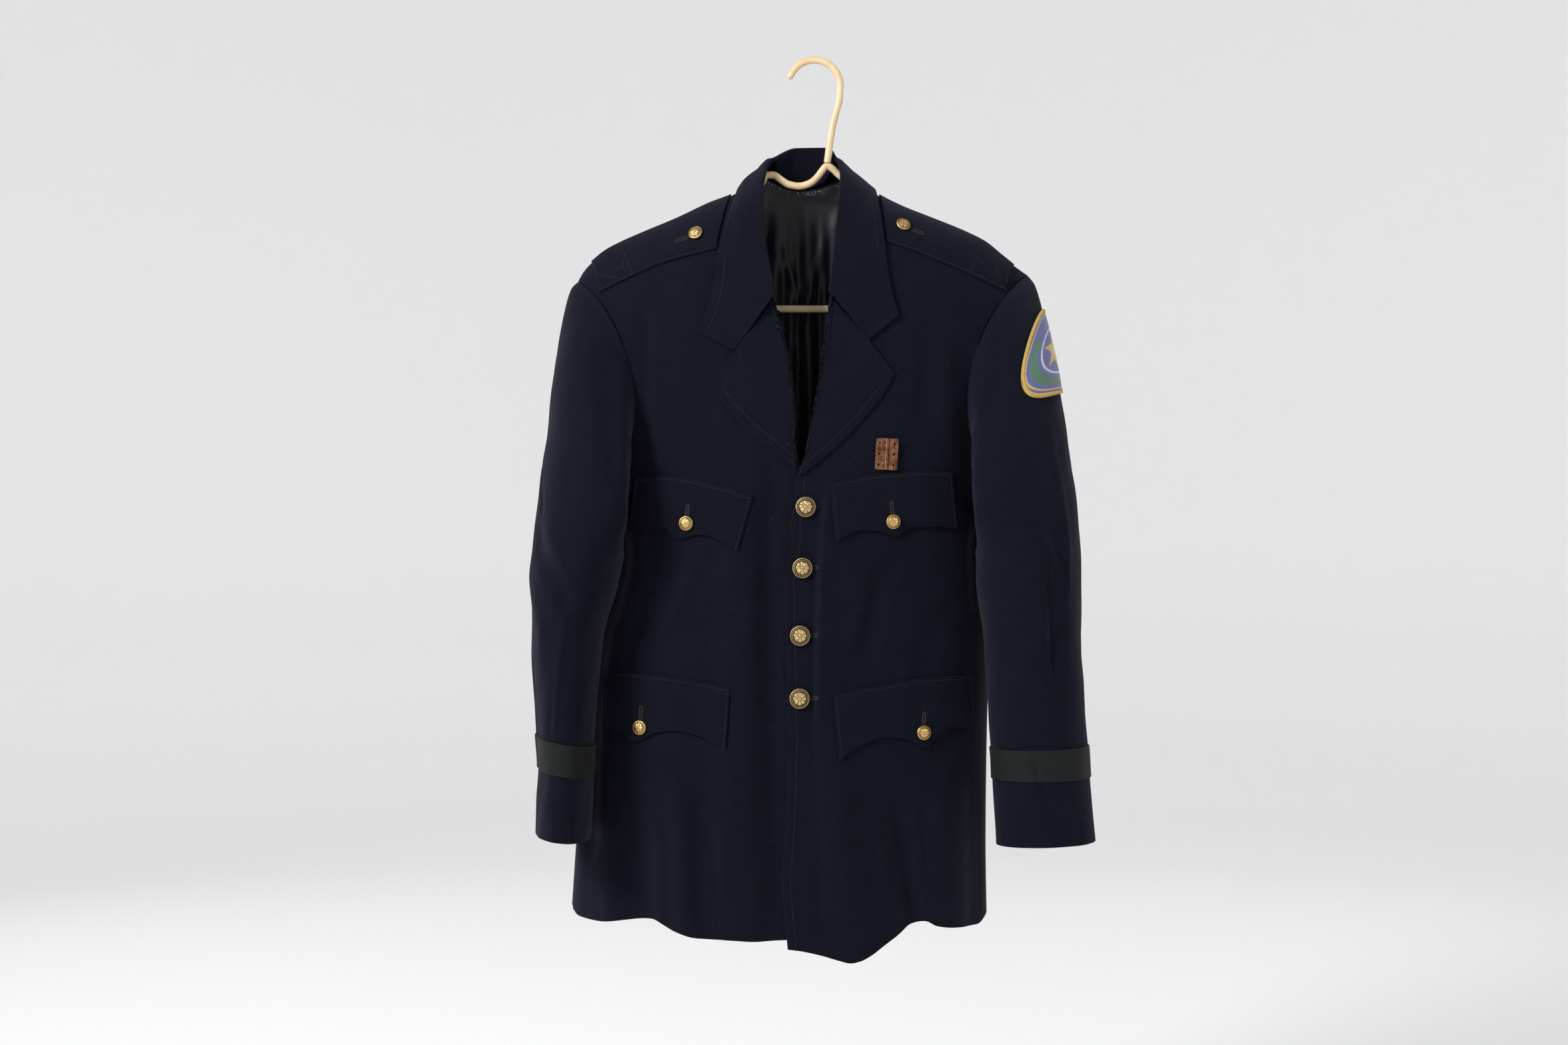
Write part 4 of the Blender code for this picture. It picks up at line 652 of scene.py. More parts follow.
def cloth(name, face, outward, thickness, material, legs=(), normals=None):
    """A closed piece of cloth behind a grid of points, with soft round edges all round.

    Returns the piece, the grid of its face with the normals there, and its mean area."""
    if normals is None:
        face = near_rims(face)
        normals = grid_normals(face, outward)
    rows, columns = face.shape[:2]
    down, across = runs(face, 0), runs(face, 1)
    inside = np.minimum.reduce([down, down[-1:] - down, across, across[:, -1:] - across])
    half = thickness / 2
    height = half * np.sqrt(1 - (1 - np.clip(inside / half, 0, 1)) ** 2)[..., None]
    middle = face - normals * half
    front = np.arange(rows * columns).reshape(rows, columns)
    behind = front.copy()
    within = np.zeros((rows, columns), bool)
    within[1:-1, 1:-1] = True
    behind[within] = rows * columns + np.arange(within.sum())
    points = np.concatenate([(middle + normals * height).reshape(-1, 3), (middle - normals * height)[within]])
    quads = grid_quads(rows, columns)
    a, b, c, d = (face.reshape(-1, 3)[q] for q in quads[len(quads) // 2])
    if np.cross(b - a, d - a) @ normals.reshape(-1, 3)[quads[len(quads) // 2][0]] < 0:
        quads = quads[:, ::-1]
    faces = np.concatenate([front.ravel()[quads], behind.ravel()[quads][:, ::-1]])
    flat_uv = np.stack([across - across[:, columns // 2:columns // 2 + 1], down], axis=-1)
    uv = np.concatenate([flat_uv.reshape(-1, 2), flat_uv[within]])
    distance = np.full((rows, columns), NO_EDGE / MM)
    if legs:
        distance = edge_distance(face, face, legs)
    values = {"edge": np.concatenate([distance.ravel(), distance[within]]) * MM,
              "side": np.concatenate([np.ones(rows * columns), np.zeros(within.sum())])}
    piece = new_piece(name, points, faces, material, uv, values)
    du = np.diff(middle, axis=1)[:-1]
    dv = np.diff(middle, axis=0)[:, :-1]
    area = np.linalg.norm(np.cross(du, dv), axis=-1).sum() * MM * MM
    return piece, face, normals, area


def wool(name, stitch_at=None):
    """Heathered navy serge: fine twill, fibre fuzz, lint, and the dip along a topstitched edge."""
    material, tree, shader = new_material(name, WOOL_DARK, 0.92)
    where = object_place(tree)
    fibre = noise(tree, where, 1500.0, 4.0, 0.7)
    patchy = noise(tree, where, 42.0, 3.0)
    colour = ramp(tree, fibre, [(0.36, WOOL_DARK), (0.64, WOOL_LIGHT)])
    shade = ramp(tree, patchy, [(0.3, 0.80), (0.7, 1.08)])
    tinted = node(tree, "ShaderNodeMix", {0: 1.0, "A": colour, "B": shade}, data_type="RGBA",
                  blend_type="MULTIPLY")
    speck = node(tree, "ShaderNodeTexVoronoi", {"Vector": where, "Scale": 190.0}, feature="F1")
    chance = maths(tree, "GREATER_THAN", node(tree, "ShaderNodeSeparateColor",
                                              {"Color": speck.outputs["Color"]}).outputs["Red"], 0.985)
    near = maths(tree, "LESS_THAN", speck.outputs["Distance"], 0.11)
    lint = maths(tree, "MULTIPLY", maths(tree, "MULTIPLY", chance, near), 0.5)
    base = node(tree, "ShaderNodeMix", {0: lint, "A": tinted.outputs["Result"], "B": (0.06, 0.06, 0.065, 1)},
                data_type="RGBA")
    tree.links.new(base.outputs["Result"], shader.inputs["Base Color"])
    map_node = node(tree, "ShaderNodeUVMap", uv_map="cloth")
    split = node(tree, "ShaderNodeSeparateXYZ", {"Vector": map_node.outputs["UV"]})
    slant = maths(tree, "ADD", maths(tree, "MULTIPLY", split.outputs["X"], 0.8),
                  maths(tree, "MULTIPLY", split.outputs["Y"], 0.6))
    twill = maths(tree, "SINE", maths(tree, "MULTIPLY", slant, 2 * math.pi / TWILL_PITCH))
    normal = bump(tree, twill, 0.00006, 0.8)
    normal = bump(tree, fibre, 0.00034, 1.0, normal)
    normal = bump(tree, noise(tree, where, 260.0, 3.0), 0.0004, 0.6, normal)
    if stitch_at is not None:
        edge = node(tree, "ShaderNodeAttribute", attribute_name="edge").outputs["Fac"]
        away = maths(tree, "DIVIDE", maths(tree, "SUBTRACT", edge, stitch_at * MM), 0.0011)
        dip = maths(tree, "EXPONENT", maths(tree, "MULTIPLY", maths(tree, "MULTIPLY", away, away), -1.0))
        normal = bump(tree, maths(tree, "MULTIPLY", dip, -1.0), 0.0007, 1.0, normal)
    tree.links.new(normal, shader.inputs["Normal"])
    shader.inputs["Sheen Weight"].default_value = 0.075
    shader.inputs["Sheen Roughness"].default_value = 0.45
    shader.inputs["Sheen Tint"].default_value = (0.55, 0.60, 0.85, 1)
    shader.inputs["Specular IOR Level"].default_value = 0.10
    return material


def armhole_angles():
    return np.linspace(0, math.pi, ARMHOLE_ROWS + 1)


def side_line(side):
    """Side seam from the underarm to the hem, as x and z."""
    table = column(BODY, "right_side" if side == "right" else "left_side")
    z = UNDERARM_Z + (HEM_BACK_Z - UNDERARM_Z) * np.linspace(0, 1, SIDE_ROWS + 1) ** 1.3
    return np.stack([smooth(column(BODY, "z"), table, z), z], axis=1)


def front_outline(side, share):
    """The four edges of a front in the plane of the photo."""
    right = side == "right"
    edge, hem = (EDGE_RIGHT, HEM_RIGHT) if right else (EDGE_LEFT, HEM_LEFT)
    sleeve = SLEEVE_RIGHT if right else SLEEVE_LEFT
    turn = (1 - np.cos(armhole_angles())) / 2
    inner_z = np.concatenate([NECK_TOP_Z + (BREAK_Z[side] - NECK_TOP_Z) * turn,
                              np.linspace(BREAK_Z[side], column(edge, "z")[0], SIDE_ROWS + 1)[1:]])
    inner = np.stack([smooth(column(edge, "z"), column(edge, "x"), inner_z), inner_z], axis=1)
    inner[:, 0] += (-1 if right else 1) * TURN_BACK * ease((inner_z - BREAK_Z[side]) / 30)
    ring = armhole(sleeve, armhole_angles(), back_y)[:, [0, 2]]
    seam = side_line(side)
    end = 0 if right else -1
    hem_x, hem_z = column(hem, "x"), column(hem, "z")
    seam[:, 0] += (hem_x[end] - seam[-1, 0]) * np.linspace(0, 1, len(seam)) ** 4
    seam[:, 1] += (hem_z[end] - seam[-1, 1]) * np.linspace(0, 1, len(seam))
    outer = np.concatenate([ring, seam[1:]])
    top_x = inner[0, 0] + (outer[0, 0] - inner[0, 0]) * share
    top = np.stack([top_x, shoulder_z(top_x)], axis=1)
    top[0] = inner[0]
    bottom_x = inner[-1, 0] + (outer[-1, 0] - inner[-1, 0]) * share
    bottom = np.stack([bottom_x, smooth(hem_x, hem_z, bottom_x)], axis=1)
    inner[-1] = bottom[0]
    return inner, outer, top, bottom


def blurred(field, reach):
    """The field with each value shared out over its neighbours."""
    weights = np.exp(-(np.arange(-2 * reach, 2 * reach + 1) / reach) ** 2)
    weights /= weights.sum()
    padded = np.pad(field, 2 * reach, mode="edge")
    padded = np.apply_along_axis(np.convolve, 0, padded, weights, mode="valid")
    return np.apply_along_axis(np.convolve, 1, padded, weights, mode="valid")


def tuck_behind(outer, hanging):
    """Presses a front's side in behind the sleeve that hangs against it."""
    pushed = outer[..., 1].copy()
    for r in range(ARMHOLE_ROWS - 6, outer.shape[0]):
        for c in range(outer.shape[1] // 2, outer.shape[1] - 1):
            for dx in (-8, 0, 8):
                for dz in (-12, 0, 12):
                    start = Vector((outer[r, c, 0] + dx, 200, outer[r, c, 2] + dz))
                    hit = hanging.ray_cast(start, Vector((0, -1, 0)))[0]
                    if hit is not None:
                        behind = min(hit.y + SLEEVE_ROOM, SIDE_Y - CLOTH - 1)
                        pushed[r, c] = max(pushed[r, c], behind)
    outer[..., 1] += blurred(pushed - outer[..., 1], 2)


def body_panel(flat, surface, facing, sleeves, hanging=None):
    """Face of a panel from its grid in the plane of the photo, with its seams in place."""
    face = np.stack([flat[..., 0], surface(flat[..., 0], flat[..., 1]), flat[..., 1]], axis=-1)
    if hanging:
        tuck_behind(face, hanging)
    seam_y = SIDE_Y + facing * SEAM / 2
    on_shoulder = np.abs(flat[0, :, 1] - shoulder_z(flat[0, :, 0])) < 0.01
    face[0, on_shoulder, 1] = seam_y
    for place, sleeve in sleeves.items():
        face[:ARMHOLE_ROWS + 1, place] = armhole(sleeve, -facing * armhole_angles(), back_y)
        face[:ARMHOLE_ROWS + 1, place, 0] -= np.sign(sleeve[1][1]) * SEAM
        face[ARMHOLE_ROWS:, place, 1] = seam_y
        face[0, place, 1] = seam_y
    return face


def hanging_surface(sleeve, folds):
    rings = np.linspace(0, 1, 70)[:, None]
    angles = np.linspace(0, 2 * math.pi, 61)[None]
    points = sleeve_surface(sleeve, folds, rings, angles)
    return surface_tree(points, points - points.mean(axis=1, keepdims=True))


def spread(count, dense_end):
    """Shares from 0 to 1 that crowd together at the far end, where the cloth turns the side."""
    t = np.linspace(0, 1, count)
    return (1 - dense_end) * t + dense_end * np.sin(t * math.pi / 2)


wool_plain = wool("navy_serge")
wool_stitched = wool("navy_serge_topstitched", EDGE_STITCH)
front_flat = {
    "right": coons(*front_outline("right", spread(RIGHT_COLUMNS, 0.6))),
    "left": coons(*front_outline("left", np.interp(np.linspace(0, len(PLEAT_COLUMNS) - 1, LEFT_COLUMNS),
                                                   np.arange(len(PLEAT_COLUMNS)), PLEAT_COLUMNS))),
}
FRONT_LEGS = [("left", ARMHOLE_ROWS / (ARMHOLE_ROWS + SIDE_ROWS), 1)]
faces_of, trees = {}, {}
for front_side, front_shape, front_sleeve, front_folds in (
        ("right", right_front_y, SLEEVE_RIGHT, SLEEVE_FOLDS_RIGHT),
        ("left", left_front_y, SLEEVE_LEFT, SLEEVE_FOLDS_LEFT)):
    front_face = body_panel(front_flat[front_side], front_shape, -1, {-1: front_sleeve},
                            hanging_surface(front_sleeve, front_folds))
    front_piece, front_face, front_normals, front_area = cloth(
        f"front_{front_side}_cloth", front_face, (0, -1, 0), CLOTH,
        wool_stitched if front_side == "left" else wool_plain, FRONT_LEGS if front_side == "left" else ())
    faces_of[f"front_{front_side}"] = (front_face, front_normals)
    trees[front_side] = surface_tree(front_face, front_normals)
    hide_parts(f"front_{front_side}")
    print("area", front_side, round(front_area, 4))

# ---------------------------------------------------------------------------------------------
# Back: one broad panel of the same serge from shoulder to shoulder, cut with a round dip for the
# collar, and sewn to the fronts along the shoulders and down both sides.
NECK_X = -11.0
NECK_HALF = 48.0
NECK_DIP = 16.0
BACK_COLUMNS = 161
FOLDS_BACK = [
    ("x_top", "z_top", "x_bottom", "z_bottom", "half", "depth"),
    (-30, -420, -36, -1010, 26, -5),
    (-110, -520, -140, -1010, 34, 5),
    (60, -520, 92, -1010, 34, 5),
    (-165, -230, -172, -520, 22, -4),
    (140, -230, 146, -520, 22, -4),
    (-40, -170, -120, -330, 26, 3),
    (20, -170, 92, -330, 26, 3),
    (-11, -160, -11, -1010, 2.2, -0.9),
    (-80, -560, -96, -990, 11, -1.8),
    (30, -600, 44, -990, 11, 1.8),
    (-190, -560, -206, -900, 12, 1.8),
    (150, -560, 158, -900, 12, -1.6),
]


def back_neckline(x):
    """Seam between the back and the collar, a round dip between the shoulders."""
    dip = np.clip(1 - ((x - NECK_X) / NECK_HALF) ** 2, 0, 1)
    return np.where(dip > 0, NECK_TOP_Z - NECK_DIP * dip, shoulder_z(x))


def folded_back_y(x, z):
    return back_y(x, z, FOLDS_BACK)


back_rings = [armhole(sleeve, -armhole_angles(), back_y)[:, [0, 2]] for sleeve in (SLEEVE_RIGHT, SLEEVE_LEFT)]
back_sides = [np.concatenate([ring, side_line(side)[1:]]) for ring, side in zip(back_rings, ("right", "left"))]
back_even = np.linspace(0, 1, BACK_COLUMNS)
back_share = (back_even + (1 - np.cos(back_even * math.pi)) / 2) / 2
back_top_x = back_sides[0][0, 0] + (back_sides[1][0, 0] - back_sides[0][0, 0]) * back_share
back_low_x = back_sides[0][-1, 0] + (back_sides[1][-1, 0] - back_sides[0][-1, 0]) * back_share
back_flat = coons(back_sides[0], back_sides[1], np.stack([back_top_x, back_neckline(back_top_x)], axis=1),
                  np.stack([back_low_x, np.full(BACK_COLUMNS, HEM_BACK_Z)], axis=1))
back_face = body_panel(back_flat, folded_back_y, 1, {0: SLEEVE_RIGHT, -1: SLEEVE_LEFT})
back_piece, back_face, back_normals, back_area = cloth("back_cloth", back_face, (0, 1, 0), CLOTH, wool_plain)
trees["back"] = surface_tree(back_face, back_normals)
trees["inside_back"] = surface_tree(back_face - back_normals * CLOTH, -back_normals)
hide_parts("back")
print("area back", round(back_area, 4))

# ---------------------------------------------------------------------------------------------
# Back lining: thin black satin with a purple gleam, hung loosely inside the back from the neck
# seam, so that it falls in large soft folds. Its upper edge is rubbed where the collar meets it.
LINING_TOP_X = (-56, 33)
LINING_LOW_X = (-100, 70)
LINING_LOW_Z = -520
LINING_GAP = 0.9
LINING_WALL = 0.8
LINING_ROWS = 120
LINING_COLUMNS = 110
LINING_FOLDS = [
    ("x_top", "z_top", "x_bottom", "z_bottom", "half", "depth"),
    (-40, -120, -58, -560, 13, 5.0),
    (-24, -150, -30, -560, 10, 3.2),
    (-8, -110, -2, -560, 14, 5.5),
    (8, -140, 22, -560, 10, 3.4),
    (22, -120, 46, -560, 13, 4.6),
    (-48, -190, 6, -300, 9, 2.4),
    (14, -180, -20, -330, 9, 2.2),
    (-78, -300, -60, -560, 12, 4.0),
]


def lining_satin():
    """Black satin: close sheen with a purple cast, fine floats along the weave, rubbed light at its edge."""
    material, tree, shader = new_material("lining_satin", (0.0040, 0.0030, 0.0060), 0.42)
    map_node = node(tree, "ShaderNodeUVMap", uv_map="cloth")
    stretch = node(tree, "ShaderNodeMapping", {"Vector": map_node.outputs["UV"], "Scale": (2600.0, 320.0, 1.0)})
    floats = noise(tree, stretch.outputs["Vector"], 1.0, 2.0)
    edge = node(tree, "ShaderNodeAttribute", attribute_name="edge").outputs["Fac"]
    rubbed = maths(tree, "MULTIPLY", maths(tree, "LESS_THAN", edge, 0.005),
                   maths(tree, "GREATER_THAN", noise(tree, object_place(tree), 420.0, 4.0), 0.60))
    mixed = node(tree, "ShaderNodeMix", {0: rubbed, "A": (0.0040, 0.0030, 0.0060, 1),
                                         "B": (0.16, 0.15, 0.15, 1)}, data_type="RGBA")
    tree.links.new(mixed.outputs["Result"], shader.inputs["Base Color"])
    tree.links.new(ramp(tree, floats, [(0.2, 0.34), (0.8, 0.50)]), shader.inputs["Roughness"])
    tree.links.new(bump(tree, floats, 0.00008), shader.inputs["Normal"])
    shader.inputs["Sheen Weight"].default_value = 0.12
    shader.inputs["Sheen Tint"].default_value = (0.62, 0.42, 0.78, 1)
    shader.inputs["Anisotropic"].default_value = 0.35
    shader.inputs["Specular IOR Level"].default_value = 0.3
    return material


lining_v = np.linspace(0, 1, LINING_ROWS)[:, None]
lining_top = np.linspace(*LINING_TOP_X, LINING_COLUMNS)[None]
lining_low = np.linspace(*LINING_LOW_X, LINING_COLUMNS)[None]
lining_x = lining_top * (1 - lining_v) + lining_low * lining_v
lining_seam = back_neckline(np.clip(lining_top, NECK_X - NECK_HALF + 1, NECK_X + NECK_HALF - 1)) - 2.5
lining_z = lining_seam * (1 - lining_v) + LINING_LOW_Z * lining_v
lining_face = on_surface(trees["inside_back"], lining_x, lining_z, from_y=-200)[0]
lining_face[..., 1] = blurred(lining_face[..., 1], 4)
lining_swell = fold_height(LINING_FOLDS, lining_x, lining_z) + handling(lining_x, lining_z, 77, 0.8)
lining_face[..., 1] -= LINING_GAP + LINING_WALL + np.maximum(lining_swell + 0.8, 0) * ease(lining_v / 0.12)
lining_piece, lining_face, _, lining_area = cloth("back_lining_satin", lining_face, (0, -1, 0), LINING_WALL,
                                                  lining_satin(), [("top", 0, 1)])
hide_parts("back_lining")
print("area lining", round(lining_area, 4))

# ---------------------------------------------------------------------------------------------
# Sleeves: each is cut as a top sleeve and a narrow under sleeve, joined by two long seams, set
# into the armhole with a little fullness at the head, and hangs empty against the side.
SLEEVE_SIDE_ROWS = 190
SEAM_ANGLES = (-72.0, 180.0, 288.0)
sleeve_faces = {}
for sleeve_side, sleeve, sleeve_folds in (("right", SLEEVE_RIGHT, SLEEVE_FOLDS_RIGHT),
                                          ("left", SLEEVE_LEFT, SLEEVE_FOLDS_LEFT)):
    for part, first_angle, last_angle, around in (("top", SEAM_ANGLES[0], SEAM_ANGLES[1], 110),
                                                  ("under", SEAM_ANGLES[1], SEAM_ANGLES[2], 46)):
        ring_s = np.linspace(0, 1, SLEEVE_SIDE_ROWS)[:, None]
        ring_angle = np.radians(np.linspace(first_angle, last_angle, around))[None]
        sleeve_face = sleeve_surface(sleeve, sleeve_folds, ring_s, ring_angle)
        for end, beside in ((0, 1), (-1, -2)):
            sleeve_face[:, end] += unit(sleeve_face[:, beside] - sleeve_face[:, end]) * SEAM / 2
        whole = sleeve_surface(sleeve, (), ring_s, np.radians(np.linspace(0, 360, 40))[None])
        sleeve_piece, sleeve_face, sleeve_normals, sleeve_area = cloth(
            f"{part}_sleeve_{sleeve_side}_cloth", sleeve_face,
            unit(sleeve_face[len(sleeve_face) // 2, around // 2] - whole[len(whole) // 2].mean(axis=0)),
            CLOTH, wool_plain)
        sleeve_faces[part, sleeve_side] = (sleeve_face, sleeve_normals)
        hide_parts(f"{part}_sleeve_{sleeve_side}")
        print("area", part, sleeve_side, round(sleeve_area, 4))

# ---------------------------------------------------------------------------------------------
# Pocket flaps: double serge cut to a scalloped edge with a point, bagged out, sewn on along the
# top and topstitched along the top and the ends.
FLAP_WALL = 2.2
FLAP_LIFT = 1.3
FLAP_STITCH = 3.0
FLAP_ROWS = 60
FLAP_COLUMNS = 130
SEAT = 0.35
FLAPS = {
    "chest_flap_right": (
        [("x", "z"), (-67.5, -484.9), (-104, -474), (-160, -463.2), (-195.5, -464.5)],
        [("x", "z"), (-83, -543), (-104, -531), (-125.7, -526.2), (-146.1, -530), (-163, -518.5),
         (-180, -516.8), (-203, -522.6)]),
    "chest_flap_left": (
        [("x", "z"), (14.5, -472), (64.7, -462), (123.4, -457.9), (147.9, -458.2)],
        [("x", "z"), (20.5, -533), (49.4, -521.5), (68, -522.5), (84.5, -528.5), (101, -518),
         (127.2, -516.6), (153.1, -519.5)]),
    "hip_flap_right": (
        [("x", "z"), (-91, -690.2), (-144.2, -681.9), (-197.7, -676.5), (-232, -678.5)],
        [("x", "z"), (-95.5, -755), (-123.6, -743), (-151.1, -737.2), (-173, -740.5),
         (-195, -750.5), (-214, -739.5), (-228, -736.1)]),
    "hip_flap_left": (
        [("x", "z"), (17.8, -696.8), (76.1, -687.4), (128, -681), (172, -680.5)],
        [("x", "z"), (24.4, -767.5), (50, -751), (70.2, -743.7), (95, -746), (117.6, -756.6),
         (134, -740), (150.3, -735.1), (175, -739)]),
}
FLAP_LEGS = [("left", 0, 1), ("top", 0, 1), ("right", 0, 1)]


def laid(tree, flat, gap, thickness, stiff):
    """Face of a piece that lies on a surface: moved out from it, and smoothed by its stiffness."""
    places, normals = on_surface(tree, flat[..., 0], flat[..., 1])
    for k in range(3):
        normals[..., k] = blurred(normals[..., k], stiff)
    normals = unit(normals)
    settled = places.copy()
    settled[..., 1] = np.minimum(blurred(places[..., 1], stiff), places[..., 1] + 0.6)
    face = settled + normals * (np.broadcast_to(gap, flat.shape[:2])[..., None] + thickness)
    closest = 1e9
    for place, normal in zip(face.reshape(-1, 3), normals.reshape(-1, 3)):
        under = Vector(place - normal * thickness)
        near, way = tree.find_nearest(under)[:2]
        closest = min(closest, (under - near).dot(way))
    return face + unit(normals.mean(axis=(0, 1))) * max(SEAT - closest, -0.5)


wool_flap = wool("navy_serge_flap", FLAP_STITCH)
for flap, (flap_top, flap_bottom) in FLAPS.items():
    flap_side = "right" if flap.endswith("right") else "left"
    flap_share = np.linspace(0, 1, FLAP_COLUMNS)
    flap_low = np.asarray(flap_bottom[1:], float)
    flap_reach = (flap_low[:, 0] - flap_low[0, 0]) / (flap_low[-1, 0] - flap_low[0, 0])
    flap_line = np.stack([flap_low[0, 0] + (flap_low[-1, 0] - flap_low[0, 0]) * flap_share,
                          smooth(flap_reach, flap_low[:, 1], flap_share)], axis=1)
    flap_v = np.linspace(0, 1, FLAP_ROWS)[:, None, None]
    flap_flat = path(flap_top[1:], FLAP_COLUMNS)[None] * (1 - flap_v) + flap_line[None] * flap_v
    flap_gap = FLAP_LIFT * flap_v[..., 0] + 0.5 * np.sin(flap_v[..., 0] * math.pi) * np.sin(flap_share * math.pi)
    flap_face = laid(trees[flap_side], flap_flat, flap_gap, FLAP_WALL, 5)
    flap_piece, flap_face, flap_normals, flap_area = cloth(f"{flap}_cloth", flap_face, (0, -1, 0), FLAP_WALL,
                                                           wool_flap, FLAP_LEGS)
    faces_of[flap] = (flap_face, flap_normals)
    trees[flap] = surface_tree(flap_face, flap_normals)
    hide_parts(flap)
    print("area", flap, round(flap_area, 5))

# ---------------------------------------------------------------------------------------------
# Lapels: the upper part of each front's facing, turned back over the chest along a soft roll,
# with a notch under the collar and topstitching along its outer edge.
LAPEL_WALL = 1.8
ROLL = 2.5
LAPEL_ROWS = 110
LAPEL_ACROSS = (58, 30)     # columns from the roll to the notch, and from there to the tip
LAPEL_BULGE = 2.4
LAPEL_LIFT = 0.6
LAPEL_END_WIDTH = 5.0
GORGE_GAP = 1.6
LAPEL_RIGHT = [("x", "z"), (-113, -364), (-96.6, -386.4), (-71.7, -414), (-46.7, -434), (-22.5, -453)]
LAPEL_LEFT = [("x", "z"), (86, -351.6), (78.1, -366.5), (58, -394), (33.1, -421.5), (8.1, -444), (-12, -460.5)]
GORGE = {"right": (-43, -266), "left": (14.6, -263)}
NOTCH = {"right": (-88, -328), "left": (58, -315.5)}


def rolled(face, outward, radius, steps=10, turn=math.radians(168)):
    """The face with its first column turned over in a round fold, back behind itself."""
    rows, columns = face.shape[:2]
    radius = np.broadcast_to(radius, rows)
    run = runs(face, 1)
    cut = np.empty_like(face)
    for r in range(rows):
        at = np.linspace(radius[r], run[r, -1], columns)
        cut[r] = np.stack([np.interp(at, run[r], face[r, :, k]) for k in range(3)], axis=1)
    normal = grid_normals(cut, outward)[:, :1]
    way = unit(cut[:, 1:2] - cut[:, :1])
    phi = np.linspace(turn, 0, steps + 1)[:-1][None, :, None]
    reach = radius[:, None, None]
    back = cut[:, :1] + reach * (normal * (np.cos(phi) - 1) - way * np.sin(phi))
    return np.concatenate([back, cut], axis=1)


for lapel_side, lapel_low, lapel_edge, outwards in (("right", LAPEL_RIGHT, EDGE_RIGHT, -1),
                                                    ("left", LAPEL_LEFT, EDGE_LEFT, 1)):
    roll_z = np.linspace(GORGE[lapel_side][1], lapel_low[-1][1], LAPEL_ROWS)
    roll_line = np.stack([smooth(column(lapel_edge, "z"), column(lapel_edge, "x"), roll_z), roll_z], axis=1)
    lower_line = path(lapel_low[1:], LAPEL_ROWS)
    lower_line[-1] = roll_line[-1] + np.array([outwards * LAPEL_END_WIDTH, -0.5])
    lapel_top = np.concatenate([np.linspace(roll_line[0], NOTCH[lapel_side], LAPEL_ACROSS[0]),
                                np.linspace(NOTCH[lapel_side], lapel_low[1], LAPEL_ACROSS[1] + 1)[1:]])
    lapel_bottom = np.linspace(roll_line[-1], lower_line[-1], len(lapel_top))
    lapel_flat = coons(roll_line, lower_line, lapel_top, lapel_bottom)
    lapel_flat[0, :, 1] -= GORGE_GAP
    lapel_u = np.linspace(0, 1, len(lapel_top))[None]
    lapel_gap = LAPEL_BULGE * np.sin(lapel_u * math.pi) + LAPEL_LIFT * lapel_u + 0 * roll_line[:, :1]
    lapel_face = laid(trees[lapel_side], lapel_flat, lapel_gap, LAPEL_WALL, 6)
    lapel_radius = ROLL * (0.35 + 0.65 * ease((roll_z - lapel_low[-1][1]) / 40))
    lapel_face = rolled(lapel_face, (0, -1, 0), lapel_radius)
    turned = (lapel_face.shape[1] - len(lapel_top)) / (lapel_face.shape[1] - 1)
    notch_share = turned + (1 - turned) * LAPEL_ACROSS[0] / (len(lapel_top) - 1)
    lapel_legs = [("top", notch_share, 1), ("right", 0, 1)]
    lapel_piece, lapel_face, lapel_normals, lapel_area = cloth(f"lapel_{lapel_side}_cloth", lapel_face, (0, -1, 0),
                                                               LAPEL_WALL, wool_stitched, lapel_legs)
    faces_of[f"lapel_{lapel_side}"] = (lapel_face, lapel_normals)
    trees[f"lapel_{lapel_side}"] = surface_tree(lapel_face, lapel_normals)
    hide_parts(f"lapel_{lapel_side}")
    print("area lapel", lapel_side, round(lapel_area, 5))

# ---------------------------------------------------------------------------------------------
# Collar: the fall is folded over along the crease and lies out on the coat with square ends at
# the notches; the stand rises inside the back of the neck, from the neck seam to that crease.
CREASE = [
    ("x", "y", "z"),
    (-43, -81, -264), (-49.2, -74, -234), (-53, -67, -211.6), (-55.4, -58, -186.7),
    (-56.5, -44, -160), (-52, -24, -133), (-46, -4, -108), (-37, 12, -97), (-22, 23, -89.5),
    (1, 27, -88.5), (18, 22, -89.5), (22.5, 9, -98), (24, -5, -110), (25, -18, -126),
    (24.5, -34, -148), (23, -52, -178), (20.6, -64, -204), (16.9, -74, -244), (14.8, -80, -262),
]
COLLAR_EDGE = [
    ("x", "z", "side"),
    (-126.6, -306, "front"), (-116.6, -279, "front"), (-110.4, -254, "front"),
    (-106.6, -221, "front"), (-101, -197, "front"), (-95, -173, "front"), (-88, -152, "front"),
    (-83.5, -136.5, "top"), (-72, -146, "back"), (-38, -154, "back"), (-8, -156, "back"),
    (24, -154, "back"), (56, -147, "back"), (66, -138.5, "top"), (69, -152, "front"),
    (72, -172, "front"), (75, -197, "front"), (77.5, -224, "front"), (82, -254, "front"),
    (90.5, -288, "front"),
]
STAND_LOW = [
    ("x", "y", "z"),
    (-47, 9, -112), (-42, 16, -120), (-31, 24, -131), (-11, 28, -136.5), (10, 25, -130),
    (21, 16, -117), (24.5, 9, -110),
]
STAND_ENDS_Y = 8.0
STAND_DROP = 2.4
STAND_INSET = (4.8, 3.3)
STAND_MIDDLE = np.array([-11.0, -20.0, -112.0])
STAND_ROWS = 30
COLLAR_WALL = 1.9
COLLAR_LIFT = 5.6
COLLAR_REACH = 22.0
COLLAR_BULGE = 7.0
NECK_MIDDLE = (-12.0, -6.0, -150.0)
COLLAR_ROWS = 320
COLLAR_ACROSS = 60
COLLAR_KNEE = 40            # columns of the fall's end that meet the lapel at the gorge
NOTCH_FADE = 78


